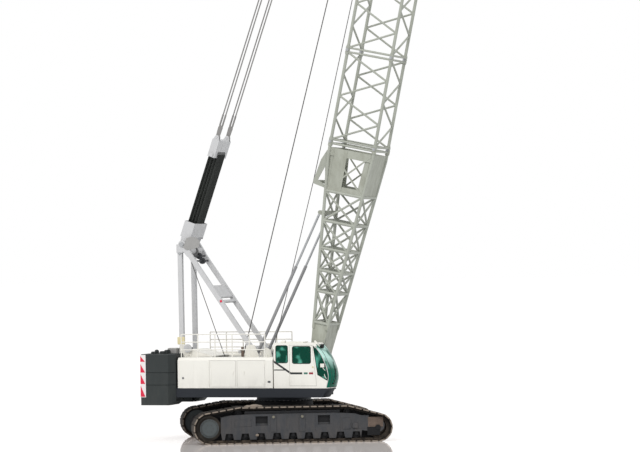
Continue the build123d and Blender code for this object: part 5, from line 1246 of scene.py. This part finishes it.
# %% Linings, floor mat and display
CAB_FLOOR = 1.7926
lining = [slab((0.232, 0.24), (-1.49, -0.74), (1.80, 2.56), 0.002),
          slab((0.26, 1.9), (-0.734, -0.728), (1.80, 2.54), 0.002),
          slab((0.24, 1.56), (-1.50, -0.73), (3.165, 3.172), 0.002),
          slab((0.24, 2.0), (-1.50, -0.73), (CAB_FLOOR + 0.001, CAB_FLOOR + 0.012), 0.003),
          slab((0.26, 0.72), (-1.502, -1.497), (1.80, 2.56), 0.002)]
settle(joined(lining), "cab_lining", "upper", "black_rubber_and_shade")
display = [slab((1.62, 1.66), (-1.42, -1.20), (2.30, 2.46), 0.01),
           slab((1.58, 1.70), (-1.34, -1.28), (CAB_FLOOR, 2.32), 0.01),
           slab((1.74, 1.95), (-1.33, -0.90), (CAB_FLOOR, 2.12), 0.03)]
for y in (-1.19, -1.04):
    display.append(bead([(1.58, y, CAB_FLOOR + 0.02), (1.56, y, 2.15), (1.50, y, 2.42)], 0.011, smooth=True, sides=12))
    display.append(slab((1.52, 1.68), (y - 0.045, y + 0.045), (CAB_FLOOR + 0.02, CAB_FLOOR + 0.045), 0.006))
settle(joined(display), "cab_controls", "upper", "engine_grey")
print("cab lined")

# %% Seat shell, consoles and levers
shell = [slab(x, y, (CAB_FLOOR + low, CAB_FLOOR + high), edge) for x, y, low, high, edge in (
    ((0.56, 0.94), (-1.255, -0.975), 0.002, 0.05, 0.01), ((0.60, 0.90), (-1.22, -1.01), 0.04, 0.31, 0.03),
    ((0.50, 1.0), (-1.34, -0.89), 0.30, 0.345, 0.02), ((0.64, 0.94), (-1.43, -0.80), 0.255, 0.30, 0.01),
    ((0.63, 1.14), (-1.49, -1.38), 0.28, 0.53, 0.03), ((0.63, 1.14), (-0.85, -0.74), 0.28, 0.53, 0.03))]
for y in (-1.435, -0.795):
    lever = [(x, y, CAB_FLOOR + up) for x, up in ((1.06, 0.52), (1.07, 0.60), (1.08, 0.66))]
    shell.append(bead(lever, 0.011, sides=12))
    shell.append(tubes([((1.076, y, CAB_FLOOR + 0.63), (1.086, y, CAB_FLOOR + 0.73), 0.022)], 16))
BACK_LEAN = radians(-7.7)
backrest = slab((-0.055, -0.03), (-0.215, 0.215), (0.0, 0.56), 0.012)
backrest.data.transform(Matrix.Translation((0.535, CAB_MIDDLE, CAB_FLOOR + 0.44)) @ Matrix.Rotation(BACK_LEAN, 4, "Y"))
shell.append(backrest)
seat_shell = settle(joined(shell), "seat_shell", "upper", "engine_grey")
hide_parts("cab_seat")
print("seat shell stands in the cab")

# %% Foam pads with sewn channels
SWELLING = 0.007
CHANNEL_HALF, CHANNEL_DEPTH = 0.018, 0.006


def puffed(size):
    """A foam pad of a size, standing on the origin: remeshed, and blown up as cloth with its
    swelling capped."""
    pad = slab((-size[0] / 2, size[0] / 2), (-size[1] / 2, size[1] / 2), (0.0, size[2]), 0.03)
    alone(pad)
    remesh = pad.modifiers.new("voxels", "REMESH")
    remesh.mode = "VOXEL"
    remesh.voxel_size = 0.009
    bpy.ops.object.modifier_apply(modifier=remesh.name)
    start = [v.co.copy() for v in pad.data.vertices]
    cloth = pad.modifiers.new("cloth", "CLOTH")
    cloth.settings.use_pressure = True
    cloth.settings.uniform_pressure_force = 4.0
    cloth.settings.effector_weights.gravity = 0.0
    cloth.point_cache.frame_end = 14
    for step in range(1, 15):
        bpy.context.scene.frame_set(step)
    swollen = pad.evaluated_get(bpy.context.evaluated_depsgraph_get())
    ends = [v.co.copy() for v in swollen.data.vertices]
    pad.modifiers.remove(cloth)
    bpy.context.scene.frame_set(1)
    for vertex, here, there in zip(pad.data.vertices, start, ends):
        move = there - here
        vertex.co = here + move * min(1.0, SWELLING / max(move.length, 1e-6))
    return pad


def channelled(pad, spots):
    """Presses sewn channels into a pad's face at places along X."""
    top = max(v.co.z for v in pad.data.vertices)
    for vertex in pad.data.vertices:
        if vertex.co.z > top * 0.55:
            near = min(abs(vertex.co.x - spot) for spot in spots)
            vertex.co.z -= CHANNEL_DEPTH * max(0.0, 1.0 - (near / CHANNEL_HALF) ** 2)
    alone(pad)
    bpy.ops.object.shade_smooth()
    return pad


print("a pad swells by", SWELLING, "m at most")

# %% The seat's cushion and back
PADS = {"seat_cushion": ((0.49, 0.43, 0.062), 0.11, (0.75, 0.35), 0.0),
        "seat_back": ((0.50, 0.40, 0.062), 0.12, (0.512, 0.70), BACK_LEAN + pi / 2)}
for name, (size, spacing, (x, up), turn) in PADS.items():
    pad = channelled(puffed(size), (-spacing, 0.0, spacing))
    pad.data.transform(Matrix.Translation((x, CAB_MIDDLE, CAB_FLOOR + up)) @ Matrix.Rotation(turn, 4, "Y"))
    pad = settle(pad, name, "upper", "seat_fabric")
    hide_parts("cab_seat")
    print(name, "has", len(pad.data.vertices), "points")

# %% [markdown]
# ## Carbody, bearing and what hangs from the head
# The swing bearing is bolted down all round, and the carbody carries hose lines to both side
# frames. At the head the hook block's cheeks get side bolts, guards and a swivel collar.

# %% Bolt ring of the swing bearing
BEARING_RADIUS, BEARING_BOLTS = 0.924, 40
bolts = [facing((x, y, 1.2998), (0, 0, 1)) for x, y in around(BEARING_BOLTS, BEARING_RADIUS)]
settle(bolt_heads(bolts, 0.016, 0.016), "bearing_bolts", "undercarriage", "bearing_steel")
hoses = []
for side in (-1, 1):
    for x in (-0.95, -0.88, -0.81):
        points = [(x, side * y, z) for y, z in ((0.56, 1.05), (0.88, 1.03), (1.14, 0.96), (1.40, 0.912), (1.80, 0.91))]
        hoses.append(bead(points, 0.018, smooth=True, sides=12))
hoses = joined(hoses)
hoses.data.transform(Matrix.Rotation(UNDER_TURN, 4, "Z"))
settle(hoses, "travel_pipes", "undercarriage", "black_rubber_and_shade")
print(BEARING_BOLTS, "bearing bolts")

# %% Hook block's bolts, guards and collar
head = boom_axes @ Vector((0.95, 0.0, 36.48))
SHEAVE_Z = head.z - 5.6
block_bolts = []
for side in (-1, 1):
    for dx, dz in ((-0.22, 0.12), (0.22, 0.12), (-0.24, -0.12), (0.24, -0.12), (-0.12, -0.48), (0.12, -0.48),
                   (0.0, -0.58)):
        block_bolts.append(facing((head.x + dx, side * 0.205, SHEAVE_Z + dz), (0, side, 0)))
guards = bolt_heads(block_bolts, 0.022, 0.02)
bars = [shaft(head.x + dx, SHEAVE_Z + dz, (-0.2, 0.2), 0.02)
        for dx, dz in ((-0.11, 0.362), (0.11, 0.362))]
settle(joined([guards, tubes(bars)]), "block_guards", "hook_block", "bearing_steel")
collar = tubes([((head.x, 0.0, SHEAVE_Z - 0.70), (head.x, 0.0, SHEAVE_Z - 0.66), 0.11),
                ((head.x, 0.0, SHEAVE_Z - 0.78), (head.x, 0.0, SHEAVE_Z - 0.72), 0.08)], 32)
settle(collar, "hook_collar", "hook", "hook_steel")
latch = bead([(head.x + dx, 0.0, SHEAVE_Z + dz) for dx, dz in ((0.05, -0.93), (0.12, -0.98), (0.165, -1.055))], 0.014)
settle(latch, "hook_latch", "hook", "bright_rod")
print("hook block at", round(SHEAVE_Z, 2), "m")

# %% [markdown]
# ## Last lines
# The box round the dressed crane gives its size.

# %% Sizes
bpy.context.view_layer.update()
low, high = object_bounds()
print("dressed:", [round(v, 3) for v in high - low])
